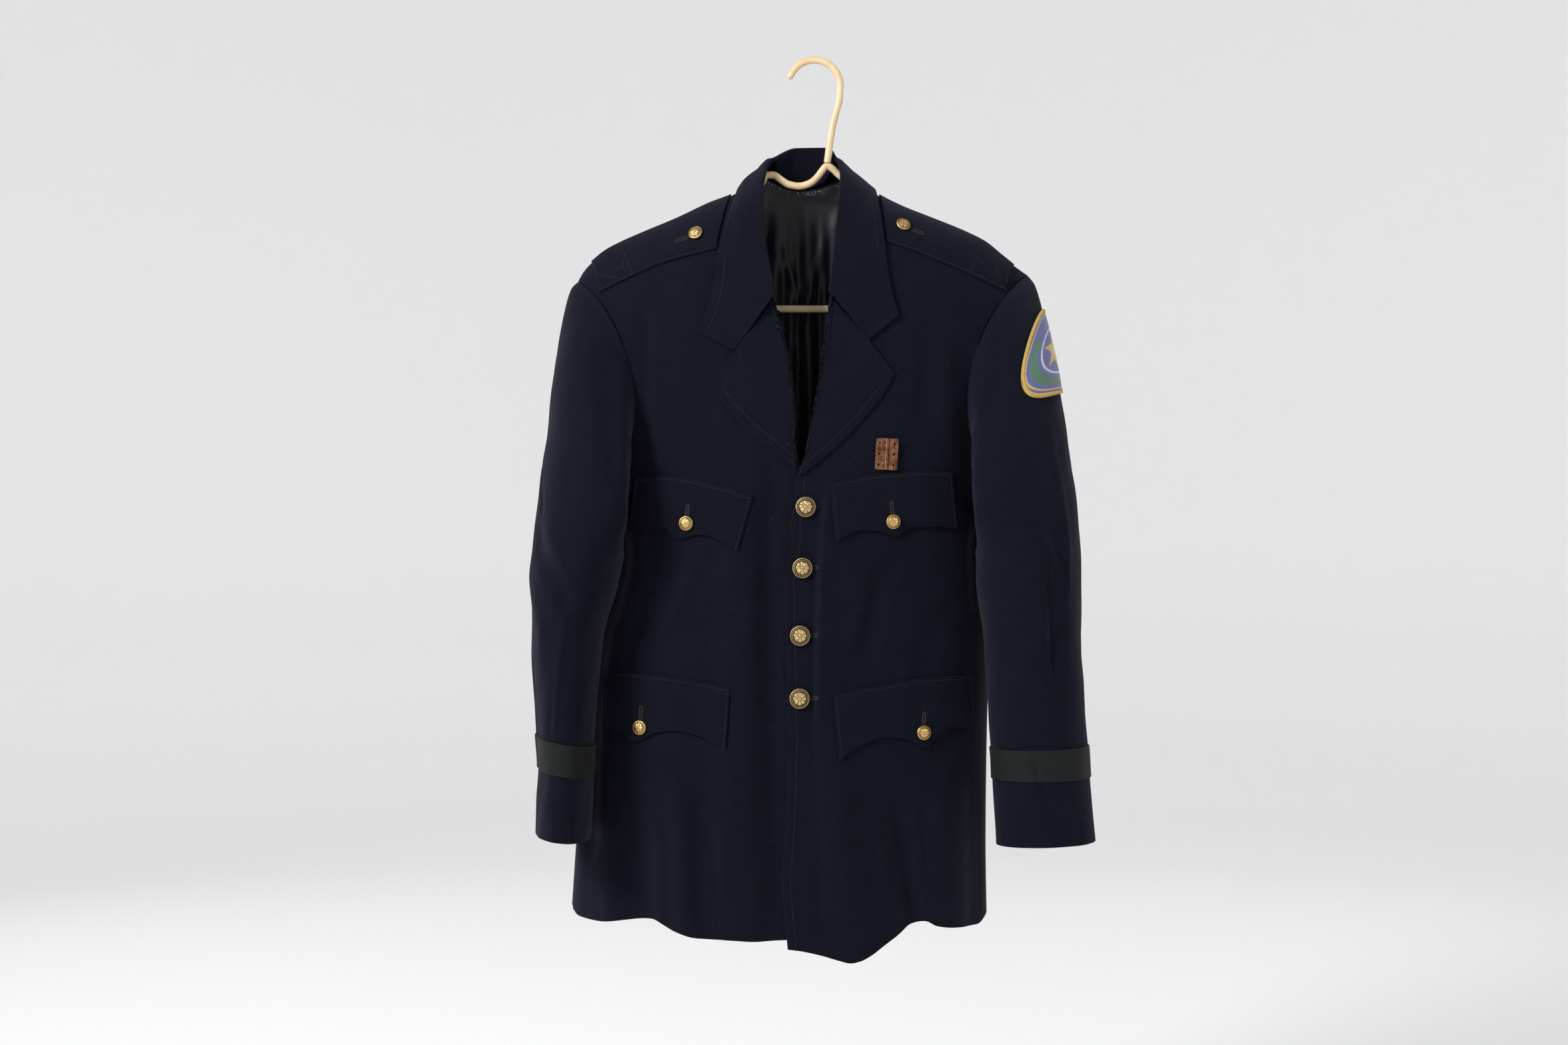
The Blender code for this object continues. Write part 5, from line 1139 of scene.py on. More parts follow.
def collar_edge():
    """Outer edge of the fall, laid on the coat."""
    edge = []
    for x, z, side in COLLAR_EDGE[1:]:
        if side == "front":
            y = on_surface(trees["right" if x < 0 else "left"], x, z)[0][1] - COLLAR_LIFT
        elif side == "back":
            y = float(back_y(np.array(x, float), np.array(z, float))) + COLLAR_LIFT
        else:
            y = SIDE_Y
        edge.append((x, y, z))
    return edge


def held_off(points, surfaces, clearance):
    """The points, with those that lie under or too near a surface lifted off it."""
    lifted = points.copy()
    for i in np.ndindex(points.shape[:-1]):
        place = Vector(points[i])
        near, normal, _, gap = min((tree.find_nearest(place) for tree in surfaces), key=lambda found: found[3])
        above = (place - near).dot(normal)
        if gap < COLLAR_REACH and above < clearance:
            lifted[i] += np.array(normal) * (clearance - above)
    move = lifted - points
    return points + np.stack([blurred(move[..., k], 3) for k in range(3)], axis=-1)


crease = path(CREASE[1:], COLLAR_ROWS)
fall_edge = path(collar_edge(), COLLAR_ROWS)
fall_share = np.linspace(0, 1, COLLAR_ACROSS + 1)[None, :, None]
fall = crease[:, None] * (1 - fall_share) + fall_edge[:, None] * fall_share
fall_out = unit(fall.mean(axis=1) - NECK_MIDDLE)
fall_out[:, 2] = np.abs(fall_out[:, 2]) * 0.6
fall += fall_out[:, None] * COLLAR_BULGE * np.sin(fall_share * math.pi)
for fall_end, fall_step, fall_side in ((0, 1, "right"), (-1, -1, "left")):
    notch_x, notch_z = NOTCH[fall_side]
    corner = np.array([notch_x, on_surface(trees[fall_side], notch_x, notch_z)[0][1] - COLLAR_LIFT, notch_z])
    gorge_line = np.linspace(crease[fall_end], corner, COLLAR_KNEE + 1)
    short_end = np.linspace(corner, fall_edge[fall_end], COLLAR_ACROSS + 1 - COLLAR_KNEE)[1:]
    fall_move = (np.concatenate([gorge_line, short_end]) - fall[fall_end]) * (1, 0, 1)
    for fall_row in range(NOTCH_FADE):
        fall[fall_end + fall_step * fall_row] += fall_move * (1 - fall_row / NOTCH_FADE) ** 1.5
fall = held_off(fall, [trees["right"], trees["left"], trees["back"]], COLLAR_LIFT - 0.8)
fall_outward = fall.mean(axis=1, keepdims=True) - NECK_MIDDLE + 0 * fall
fall = rolled(fall, fall_outward, ROLL)
fall_turned = (fall.shape[1] - COLLAR_ACROSS - 1) / (fall.shape[1] - 1)
fall_knee = fall_turned + (1 - fall_turned) * COLLAR_KNEE / COLLAR_ACROSS
FALL_LEGS = [("top", fall_knee, 1), ("right", 0, 1), ("bottom", fall_knee, 1)]
fall_face = near_rims(fall)
fall_normals = grid_normals(fall_face, fall_face.mean(axis=1, keepdims=True) - NECK_MIDDLE + 0 * fall_face)
fall_piece, fall_face, fall_normals, fall_area = cloth("collar_fall_cloth", fall_face, None, COLLAR_WALL,
                                                       wool_stitched, FALL_LEGS, fall_normals)
faces_of["collar_fall"] = (fall_face, fall_normals)
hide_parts("collar_fall")
print("area fall", round(fall_area, 5))

stand_top = crease[crease[:, 1] > STAND_ENDS_Y] - (0, 0, STAND_DROP)
stand_v = np.linspace(0, 1, STAND_ROWS)[:, None, None]
stand_face = stand_top[None] * (1 - stand_v) + path(STAND_LOW[1:], len(stand_top))[None] * stand_v
stand_in = unit((STAND_MIDDLE - stand_face) * (1, 1, 0))
stand_face += stand_in * (STAND_INSET[0] * (1 - stand_v) + STAND_INSET[1] * stand_v)
stand_piece, stand_face, _, stand_area = cloth("collar_stand_cloth", stand_face, (0, -1, 0), CLOTH, wool_plain)
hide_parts("collar_stand")
print("area stand", round(stand_area, 5))

# ---------------------------------------------------------------------------------------------
# Epaulettes: double straps of serge on the shoulders, caught in the armhole seam, with crossed
# stitching near it and a button at the neck end.
EPAULETTE_WALL = 2.4
EPAULETTE_ROWS = 56
EPAULETTE_COLUMNS = 150
EPAULETTE_RIGHT = [("x", "z"), (-107.5, -215.5), (-127.5, -220), (-167.8, -230.4), (-200.5, -244), (-236, -260)]
EPAULETTE_LEFT = [("x", "z"), (78.5, -208), (96.7, -213.5), (149.6, -234.1), (192.4, -251.8), (208, -258.5)]
EPAULETTE_TOP = {"right": (-92, -248), "left": (71, 222)}
EPAULETTE_BACK_DROP = 3.0
EPAULETTE_LEGS = [("bottom", 0, 1)]
for strap_side, strap_front in (("right", EPAULETTE_RIGHT), ("left", EPAULETTE_LEFT)):
    strap_low = path(strap_front[1:], EPAULETTE_COLUMNS)
    strap_top_x = np.linspace(*EPAULETTE_TOP[strap_side], EPAULETTE_COLUMNS)
    strap_first = np.arccos(1 - EPAULETTE_BACK_DROP / SHOULDER_ROLL)
    strap_last = np.arccos(1 - np.clip((shoulder_z(strap_low[:, 0]) - strap_low[:, 1]) / SHOULDER_ROLL, 0, 1))
    strap_v = np.linspace(0, 1, EPAULETTE_ROWS)[:, None]
    strap_x = strap_top_x * (1 - strap_v) + strap_low[:, 0] * strap_v
    strap_drop = SHOULDER_ROLL * (1 - np.cos(strap_first * (1 - strap_v) + strap_last * strap_v))
    strap_flat = np.stack([strap_x, shoulder_z(strap_x) - strap_drop], axis=-1)
    strap_face = laid(trees[strap_side], strap_flat, 0.0, EPAULETTE_WALL, 4)
    strap_piece, strap_face, strap_normals, strap_area = cloth(
        f"epaulette_{strap_side}_cloth", strap_face, (0, -0.6, 0.8), EPAULETTE_WALL, wool_flap, EPAULETTE_LEGS)
    faces_of[f"epaulette_{strap_side}"] = (strap_face, strap_normals)
    trees[f"epaulette_{strap_side}"] = surface_tree(strap_face, strap_normals)
    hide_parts(f"epaulette_{strap_side}")
    print("area epaulette", strap_side, round(strap_area, 5))

# ---------------------------------------------------------------------------------------------
# Topstitching: stitches of twisted navy thread, each one sunk a little at both ends, laid along
# a line by Geometry Nodes. Turned across the line, the same stitches make a purled edge.
STITCH_PITCH = 3.0
STITCH_LENGTH = 2.3
STITCH_THICK = 0.42
STITCH_LIFT = 0.06


def thread(name, colour, sheen=0.25):
    material, tree, shader = new_material(name, colour, 0.7)
    where = object_place(tree)
    tree.links.new(bump(tree, noise(tree, where, 2400.0, 2.0), 0.0002, 0.7), shader.inputs["Normal"])
    shader.inputs["Sheen Weight"].default_value = sheen
    shader.inputs["Specular IOR Level"].default_value = 0.25
    return material


def stitch_group():
    """Node group that lays a stitch at every step of a line, along it or across it."""
    group = bpy.data.node_groups.new("stitches", "GeometryNodeTree")
    group.interface.new_socket("Geometry", in_out="OUTPUT", socket_type="NodeSocketGeometry")
    for label, kind in (("Geometry", "Geometry"), ("Pitch", "Float"), ("Length", "Float"), ("Thickness", "Float"),
                        ("Unevenness", "Float"), ("Across", "Float"), ("Seed", "Int"), ("Thread", "Material")):
        group.interface.new_socket(label, in_out="INPUT", socket_type=f"NodeSocket{kind}")
    given = node(group, "NodeGroupInput").outputs
    line = node(group, "GeometryNodeMeshToCurve", {"Mesh": given["Geometry"]})
    even = node(group, "GeometryNodeResampleCurve", {"Curve": line.outputs[0], "Length": given["Pitch"]}, mode="LENGTH")
    tangent = node(group, "GeometryNodeInputTangent").outputs[0]
    facing = node(group, "GeometryNodeInputNamedAttribute", {"Name": "facing"}, data_type="FLOAT_VECTOR").outputs[0]
    sideways = node(group, "ShaderNodeVectorMath", {0: tangent, 1: facing}, operation="CROSS_PRODUCT").outputs[0]
    way = node(group, "ShaderNodeMix", {0: given["Across"], 4: tangent, 5: sideways}, data_type="VECTOR").outputs[1]
    turn = node(group, "FunctionNodeAxesToRotation", {0: way, 1: facing}, primary_axis="X", secondary_axis="Z")
    chance = node(group, "FunctionNodeRandomValue", {2: 0.0, 3: 1.0, "Seed": given["Seed"]}, data_type="FLOAT").outputs[1]
    uneven = maths(group, "MULTIPLY", maths(group, "SUBTRACT", chance, 0.5), given["Unevenness"])
    long = maths(group, "MULTIPLY", maths(group, "MULTIPLY", given["Length"], 0.5), maths(group, "ADD", uneven, 1.0))
    thick = maths(group, "MULTIPLY", given["Thickness"], 0.5)
    size = node(group, "ShaderNodeCombineXYZ", {0: long, 1: thick, 2: thick}).outputs[0]
    bead = node(group, "GeometryNodeMeshUVSphere", {"Segments": 6, "Rings": 4, "Radius": 1.0}).outputs[0]
    placed = node(group, "GeometryNodeInstanceOnPoints", {"Points": even.outputs[0], "Instance": bead,
                                                          "Rotation": turn.outputs[0], "Scale": size}).outputs[0]
    solid = node(group, "GeometryNodeRealizeInstances", {"Geometry": placed}).outputs[0]
    smooth_beads = node(group, "GeometryNodeSetShadeSmooth", {"Geometry": solid}).outputs[0]
    dyed = node(group, "GeometryNodeSetMaterial", {"Geometry": smooth_beads, "Material": given["Thread"]}).outputs[0]
    node(group, "NodeGroupOutput", {"Geometry": dyed})
    return group


stitches = stitch_group()


def stitched(name, lines, settings):
    """A piece made of stitches along lines, each line a pair of points and facings."""
    mesh = bpy.data.meshes.new(name)
    points = np.concatenate([line for line, _ in lines]) * MM
    edges, start = [], 0
    for line, _ in lines:
        edges += [(start + i, start + i + 1) for i in range(len(line) - 1)]
        start += len(line)
    mesh.from_pydata(points.tolist(), edges, [])
    facing = mesh.attributes.new("facing", "FLOAT_VECTOR", "POINT")
    facing.data.foreach_set("vector", np.concatenate([ways for _, ways in lines]).astype(np.float32).ravel())
    piece = bpy.data.objects.new(name, mesh)
    bpy.context.scene.collection.objects.link(piece)
    modifier = piece.modifiers.new("stitches", "NODES")
    modifier.node_group = stitches
    sockets = {item.name: item.identifier for item in stitches.interface.items_tree
               if item.in_out == "INPUT" and item.name != "Geometry"}
    for label, value in settings.items():
        modifier[sockets[label]] = value
    depsgraph = bpy.context.evaluated_depsgraph_get()
    made = bpy.data.meshes.new_from_object(piece.evaluated_get(depsgraph))
    piece.modifiers.remove(modifier)
    piece.data = made
    made.name = name
    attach(piece, "root")
    return piece


def topstitch(name, lines, material, seed, across=False, pitch=STITCH_PITCH, length=STITCH_LENGTH,
              thickness=STITCH_THICK, unevenness=0.12):
    return stitched(name, lines, {"Pitch": pitch * MM, "Length": length * MM, "Thickness": thickness * MM,
                                  "Unevenness": unevenness, "Across": float(across), "Seed": seed,
                                  "Thread": material})


def inset_lines(face, normals, legs, distance, lift=STITCH_LIFT):
    """Lines on a face at a distance from the sides given, broken where the sides meet."""
    lines = []
    for leg in legs:
        inwards, ways = leg_lines(face, *leg), leg_lines(normals, *leg)
        run = runs(inwards, 1)
        points = np.stack([[np.interp(distance, run[i], inwards[i, :, k]) for k in range(3)]
                           for i in range(len(inwards))])
        facing = unit(np.stack([[np.interp(distance, run[i], ways[i, :, k]) for k in range(3)]
                                for i in range(len(inwards))]))
        kept = edge_distance(points, face, legs) > distance - 0.3
        if kept.sum() > 3:
            lines.append((points[kept] + facing[kept] * lift, facing[kept]))
    return lines


navy_thread = thread("navy_thread", (0.006, 0.007, 0.013))
topstitch("collar_topstitch", inset_lines(*faces_of["collar_fall"], FALL_LEGS, EDGE_STITCH), navy_thread, 11)
for lapel_side in ("right", "left"):
    topstitch(f"lapel_{lapel_side}_topstitch",
              inset_lines(*faces_of[f"lapel_{lapel_side}"], lapel_legs, EDGE_STITCH), navy_thread, 12)
topstitch("front_edge_topstitch", inset_lines(*faces_of["front_left"], FRONT_LEGS, EDGE_STITCH), navy_thread, 13)
for flap in FLAPS:
    topstitch(f"{flap}_topstitch", inset_lines(*faces_of[flap], FLAP_LEGS, FLAP_STITCH), navy_thread, 14,
              pitch=2.6, length=2.0)
for strap_side in ("right", "left"):
    topstitch(f"epaulette_{strap_side}_topstitch",
              inset_lines(*faces_of[f"epaulette_{strap_side}"], EPAULETTE_LEGS, FLAP_STITCH), navy_thread, 15,
              pitch=2.6, length=2.0)

# ---------------------------------------------------------------------------------------------
# Crossed stitching: two lines over the end of each epaulette, next to the armhole, that fasten
# it down to the shoulder.
EPAULETTE_LINES = {
    "right": [[(-211.8, -212.8), (-196.9, -248.6)], [(-196.9, -248.6), (-249.0, -236.0)]],
    "left": [[(168.8, -245.5), (180.0, -218.0)], [(208.3, -263.0), (199.6, -230.0)]],
}
for strap_side, strap_lines in EPAULETTE_LINES.items():
    crossed = []
    for start_point, end_point in strap_lines:
        run_x, run_z = np.linspace(start_point, end_point, 40).T
        points, facing = on_surface(trees[f"epaulette_{strap_side}"], run_x, run_z)
        crossed.append((points + facing * STITCH_LIFT, facing))
    topstitch(f"epaulette_{strap_side}_crossed", crossed, navy_thread, 16, pitch=2.6, length=2.0)

# ---------------------------------------------------------------------------------------------
# Cuff braid: a band of black ribbed braid round each sleeve, sewn down along both edges.
BRAID_RINGS = {"right": (0.83, 0.885), "left": (0.845, 0.90)}
BRAID_WALL = 1.2
BRAID_GAP = 0.45
BRAID_RIBS = 17
BRAID_RIB_DEPTH = 0.30
BRAID_ROWS = 6 * BRAID_RIBS
BRAID_AROUND = 200
braid_black, braid_tree, braid_shader = new_material("black_braid", (0.0035, 0.0042, 0.0045), 0.72)
braid_where = object_place(braid_tree)
braid_tree.links.new(bump(braid_tree, noise(braid_tree, braid_where, 1900.0, 3.0), 0.0003, 0.9),
                     braid_shader.inputs["Normal"])
braid_shader.inputs["Sheen Weight"].default_value = 0.03
braid_shader.inputs["Specular IOR Level"].default_value = 0.18
for braid_side, sleeve, sleeve_folds in (("right", SLEEVE_RIGHT, SLEEVE_FOLDS_RIGHT),
                                         ("left", SLEEVE_LEFT, SLEEVE_FOLDS_LEFT)):
    braid_v = np.linspace(0, 1, BRAID_ROWS + 1)
    braid_s = BRAID_RINGS[braid_side][0] + np.diff(BRAID_RINGS[braid_side])[0] * braid_v[:, None]
    braid_step = 2 * math.pi / BRAID_AROUND
    braid_angle = (np.arange(-1, BRAID_AROUND + 1) * braid_step)[None]
    braid_ring = sleeve_surface(sleeve, sleeve_folds, braid_s, braid_angle)
    braid_out = grid_normals(braid_ring, braid_ring - braid_ring.mean(axis=1, keepdims=True))[:, 1:-1]
    braid_ring = braid_ring[:, 1:-1]
    rib = np.abs(np.sin(braid_v * BRAID_RIBS * math.pi))[:, None, None]
    braid_top = braid_ring + braid_out * (BRAID_GAP + BRAID_WALL - BRAID_RIB_DEPTH * (1 - rib))
    braid_points = np.concatenate([braid_top, (braid_ring + braid_out * BRAID_GAP)[::-1]])
    braid_faces = [(r * BRAID_AROUND + k, r * BRAID_AROUND + (k + 1) % BRAID_AROUND,
                    (r + 1) % len(braid_points) * BRAID_AROUND + (k + 1) % BRAID_AROUND,
                    (r + 1) % len(braid_points) * BRAID_AROUND + k)
                   for r in range(len(braid_points)) for k in range(BRAID_AROUND)]
    a, b, _, d = (braid_points.reshape(-1, 3)[i] for i in braid_faces[BRAID_AROUND * 3])
    if np.cross(b - a, d - a) @ braid_out[3, 0] < 0:
        braid_faces = [face[::-1] for face in braid_faces]
    braid_piece = new_piece(f"cuff_braid_{braid_side}_band", braid_points.reshape(-1, 3), braid_faces, braid_black)
    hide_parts(f"cuff_braid_{braid_side}")

# ---------------------------------------------------------------------------------------------
# Buttons: domed shank buttons of stamped metal, with a roped rim, a ring of beads and a rosette.
# The four large ones on the front are darkened in their hollows; the small ones are bright gilt.
FRONT_BUTTON = 22.2
SMALL_BUTTON = 15.9
BUTTON_GAP = 0.5
BUTTON_TURNS = 128
ROPE_TWISTS = 44
BEADS = 32
PETALS = 8
BUTTONS = [
    ("name", "x", "z", "diameter", "on"),
    ("front_button_1", -10.7, -496.4, FRONT_BUTTON, "left"),
    ("front_button_2", -14.4, -561.8, FRONT_BUTTON, "left"),
    ("front_button_3", -16.9, -634.2, FRONT_BUTTON, "left"),
    ("front_button_4", -17.5, -701.5, FRONT_BUTTON, "left"),
    ("pocket_button_1", -139.2, -513.9, SMALL_BUTTON, "chest_flap_right"),
    ("pocket_button_2", 82.9, -512.2, SMALL_BUTTON, "chest_flap_left"),
    ("pocket_button_3", -189.7, -735.1, SMALL_BUTTON, "hip_flap_right"),
    ("pocket_button_4", 116.5, -740.1, SMALL_BUTTON, "hip_flap_left"),
    ("epaulette_button_right", -130.5, -196.5, SMALL_BUTTON, "epaulette_right"),
    ("epaulette_button_left", 96.2, -186.8, SMALL_BUTTON, "epaulette_left"),
]
BUTTON_PROFILE = [
    ("radius", "height"),
    (0, 0.58), (0.2, 0.572), (0.38, 0.54), (0.56, 0.50), (0.70, 0.45), (0.84, 0.385), (0.90, 0.35),
    (0.93, 0.34), (0.97, 0.30), (1.0, 0.24), (0.97, 0.16), (0.62, 0.0),
]


def gilding(name, bright, dark, roughness):
    """Gilt metal whose hollows are darker, by the height of its relief."""
    material, tree, shader = new_material(name, bright, roughness, 1.0)
    relief = node(tree, "ShaderNodeAttribute", attribute_name="relief").outputs["Fac"]
    grime = noise(tree, object_place(tree), 420.0, 3.0)
    worn = maths(tree, "ADD", relief, maths(tree, "MULTIPLY", maths(tree, "SUBTRACT", grime, 0.5), 0.35))
    tree.links.new(ramp(tree, worn, [(0.12, dark), (0.62, bright)]), shader.inputs["Base Color"])
    tree.links.new(ramp(tree, worn, [(0.1, roughness + 0.3), (0.7, roughness)]), shader.inputs["Roughness"])
    tree.links.new(bump(tree, grime, 0.00005, 0.6), shader.inputs["Normal"])
    return material


def button_relief(radius, angle):
    """Height of the stamping, 0 to 1: rope at the rim, beads, petals and a boss."""
    rope = ease((radius - 0.87) / 0.02) * (0.55 + 0.45 * np.sin(angle * ROPE_TWISTS + radius * 30))
    groove = np.exp(-((radius - 0.84) / 0.022) ** 2)
    bead_ring = np.exp(-((radius - 0.755) / 0.03) ** 2) * (0.5 + 0.5 * np.cos(angle * BEADS))
    petal = ease((0.64 - radius) / 0.06) * ease((radius - 0.17) / 0.04) * np.abs(np.cos(angle * PETALS / 2)) ** 0.6
    vein = np.exp(-(np.sin(angle * PETALS / 2 + math.pi / 2) / 0.10) ** 2) * ease((0.6 - radius) / 0.1)
    boss = ease((0.16 - radius) / 0.05)
    return np.clip(rope + bead_ring + petal * (0.85 - 0.3 * vein) + boss - 0.6 * groove, 0, 1)


bright_gilt = gilding("bright_gilt", (0.66, 0.45, 0.17), (0.16, 0.09, 0.03), 0.24)
old_gilt = gilding("antique_gilt", (0.52, 0.37, 0.18), (0.035, 0.024, 0.012), 0.32)
profile_run = np.linspace(0, 1, len(BUTTON_PROFILE) - 1)
profile_at = np.concatenate([np.linspace(0, 0.82, 50), np.linspace(0.84, 1, 10)])
button_radius = np.maximum(np.interp(profile_at, profile_run, column(BUTTON_PROFILE, "radius")), 0.004)
button_height = np.interp(profile_at, profile_run, column(BUTTON_PROFILE, "height"))
button_angle = np.linspace(0, 2 * math.pi, BUTTON_TURNS, endpoint=False)
stamped = button_relief(button_radius[:, None], button_angle[None]) * (profile_at < 0.8)[:, None]
for button, button_x, button_z, diameter, carrier in BUTTONS[1:]:
    half = diameter / 2
    button_rim = np.linspace(0, 2 * math.pi, 24, endpoint=False)
    around, around_normals = on_surface(trees[carrier], button_x + half * np.cos(button_rim),
                                        button_z + half * np.sin(button_rim))
    place, _ = on_surface(trees[carrier], button_x, button_z)
    normal = unit(around_normals.mean(axis=0))
    place = place + normal * (max(0, ((around - place) @ normal).max()) + BUTTON_GAP)
    sideways = unit(np.cross((0, 0, 1), normal))
    upwards = np.cross(normal, sideways)
    round_it = (np.cos(button_angle)[None, :, None] * sideways + np.sin(button_angle)[None, :, None] * upwards)
    raised = button_height[:, None] + stamped * 0.055
    button_points = place + half * (button_radius[:, None, None] * round_it + raised[..., None] * normal)
    last = len(button_radius) - 1
    button_faces = [(r * BUTTON_TURNS + k, (r + 1) * BUTTON_TURNS + k,
                     (r + 1) * BUTTON_TURNS + (k + 1) % BUTTON_TURNS, r * BUTTON_TURNS + (k + 1) % BUTTON_TURNS)
                    for r in range(last) for k in range(BUTTON_TURNS)]
    button_faces.append(tuple(range(BUTTON_TURNS)))
    button_faces.append(tuple(last * BUTTON_TURNS + k for k in range(BUTTON_TURNS))[::-1])
    large = diameter == FRONT_BUTTON
    button_piece = new_piece(f"{button}_stamped", button_points.reshape(-1, 3), button_faces,
                             old_gilt if large else bright_gilt, values={"relief": stamped.ravel()})
    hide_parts(button)

# ---------------------------------------------------------------------------------------------
# Buttonholes: slits with a purled edge of olive thread; each runs out from under its button.
HOLE_LENGTH = 19.0
HOLE_HALF = 1.5
HOLES = [
    ("name", "x", "z", "x_end", "z_end", "on"),
    ("chest_hole_right", -139.2, -510.0, -137.7, -495.4, "chest_flap_right"),
    ("chest_hole_left", 82.9, -508.0, 81.4, -491.7, "chest_flap_left"),
    ("hip_hole_right", -189.7, -731.0, -188.8, -713.1, "hip_flap_right"),
    ("hip_hole_left", 116.5, -736.0, 117.8, -719.7, "hip_flap_left"),
    ("epaulette_hole_right", -132.0, -197.0, -151.2, -203.5, "epaulette_right"),
    ("epaulette_hole_left", 98.0, -187.4, 117.6, -194.7, "epaulette_left"),
    ("front_hole_1", -8.0, -496.4, 1.2, -496.2, "left"),
    ("front_hole_2", -11.0, -561.8, 0.7, -561.4, "left"),
    ("front_hole_3", -13.0, -634.2, 0.7, -633.8, "left"),
    ("front_hole_4", -14.0, -701.5, 0.7, -701.2, "left"),
]
olive_thread = thread("olive_thread", (0.030, 0.026, 0.016), 0.15)
hole_dark = new_material("slit_shadow", (0.002, 0.002, 0.003), 1.0)[0]
for hole, hole_x, hole_z, hole_x_end, hole_z_end, carrier in HOLES[1:]:
    hole_start, hole_end = np.array([hole_x, hole_z]), np.array([hole_x_end, hole_z_end])
    hole_way = unit(hole_end - hole_start)
    hole_side = np.array([-hole_way[1], hole_way[0]])
    turn_angles = np.linspace(-math.pi / 2, math.pi / 2, 13)
    cap_end = hole_end + HOLE_HALF * (np.cos(turn_angles)[:, None] * hole_way + np.sin(turn_angles)[:, None] * hole_side)
    cap_start = hole_start - HOLE_HALF * (np.cos(turn_angles)[:, None] * hole_way
                                          + np.sin(turn_angles)[:, None] * hole_side)
    hole_loop = np.concatenate([cap_end, cap_start, cap_end[:1]])
    hole_loop = path_through(np.column_stack([hole_loop, np.zeros(len(hole_loop))]), 0.6)[:, :2]
    points, facing = on_surface(trees[carrier], hole_loop[:, 0], hole_loop[:, 1])
    topstitch(f"{hole}_purl", [(points + facing * 0.1, facing)], olive_thread, 21, across=True, pitch=0.55,
              length=1.5, thickness=0.45)
    slit_share = np.linspace(0, 1, 24)[:, None]
    slit_x, slit_z = (hole_start * (1 - slit_share) + hole_end * slit_share).T
    slit_points, slit_facing = on_surface(trees[carrier], slit_x, slit_z)
    slit_across = np.array([hole_side[0], 0, hole_side[1]])
    slit_half = 0.45 * np.sqrt(np.clip(np.sin(slit_share * math.pi), 0.02, 1))
    slit_lines = [slit_points + slit_facing * lift + slit_across * slit_half * way
                  for lift, way in ((0.18, -1), (0.18, 1), (0.04, 1), (0.04, -1))]
    slit_faces = [(k * 24 + i, k * 24 + i + 1, (k + 1) % 4 * 24 + i + 1, (k + 1) % 4 * 24 + i)
                  for k in range(4) for i in range(23)]
    slit_faces += [(0, 24, 48, 72), (95, 71, 47, 23)]
    new_piece(f"{hole}_slit", np.concatenate(slit_lines), slit_faces, hole_dark)

# ---------------------------------------------------------------------------------------------
# Shoulder patch: a rounded shield of twill, filled with embroidery of a plain design (a star in
# a ring between two leaf sprays) and closed with a merrowed border of yellow thread.
PATCH_CENTRE_S = 0.162
PATCH_HALF_S = 0.082
PATCH_HALF_ANGLE = 53.0
PATCH_MIDDLE_ANGLE = 8.0
PATCH_LIFTS = (2.6, 1.2)
PATCH_GRID = 121
PATCH_BORDER = 0.925
PATCH_GROUND = (0.070, 0.078, 0.26)
PATCH_GOLD = (0.50, 0.34, 0.06)
PATCH_PALE = (0.46, 0.47, 0.50)
PATCH_GREEN = (0.045, 0.13, 0.07)
square = np.linspace(-1, 1, PATCH_GRID)
square_x, square_z = np.meshgrid(square, square)
disc_x = square_x * np.sqrt(1 - square_z**2 / 2)
disc_z = square_z * np.sqrt(1 - square_x**2 / 2)
disc_angle = np.arctan2(disc_x, -disc_z)
disc_radius = np.hypot(disc_x, disc_z)
shield_across = np.sin(disc_angle) * (1 + 0.06 * np.cos(2 * disc_angle)) * disc_radius
shield_down = -np.cos(disc_angle) * disc_radius


def shield_place(across, down, lift):
    """A place on the patch, and the direction in which it faces."""
    s = PATCH_CENTRE_S + down * PATCH_HALF_S
    angle = np.radians(PATCH_MIDDLE_ANGLE + across * PATCH_HALF_ANGLE)
    step = 0.01
    here = sleeve_surface(SLEEVE_LEFT, SLEEVE_FOLDS_LEFT, s, angle)
    by_s = sleeve_surface(SLEEVE_LEFT, SLEEVE_FOLDS_LEFT, s + step, angle) - here
    by_angle = sleeve_surface(SLEEVE_LEFT, SLEEVE_FOLDS_LEFT, s, angle + step) - here
    facing = unit(np.cross(by_angle, by_s))
    facing = facing * np.sign(facing[..., :1])
    return here + facing * lift, facing


def shield_dye(across, down):
    """Colour of the embroidery at each place of the patch."""
    angle = np.arctan2(across, -down)
    radius = np.hypot(across, down)
    dye = np.empty(across.shape + (3,))
    dye[:] = PATCH_GROUND
    spray = (np.abs(radius - 0.70) < 0.055 * (1 + 0.9 * np.abs(np.sin(angle * 17)))) & (np.abs(angle) > 0.75)
    dye[spray] = PATCH_GREEN
    dye[(np.abs(radius - 0.52) < 0.022)] = PATCH_PALE
    star = radius * (1 + 0.9 * np.abs(np.sin((angle % (2 * math.pi / 6)) * 3 - math.pi / 2 + math.pi / 2))) < 0.46
    dye[star] = PATCH_GOLD
    dye[radius < 0.12] = PATCH_PALE
    dye[(np.abs(radius - 0.87) < 0.015)] = PATCH_GOLD
    dye[radius > PATCH_BORDER] = PATCH_GOLD
    return dye


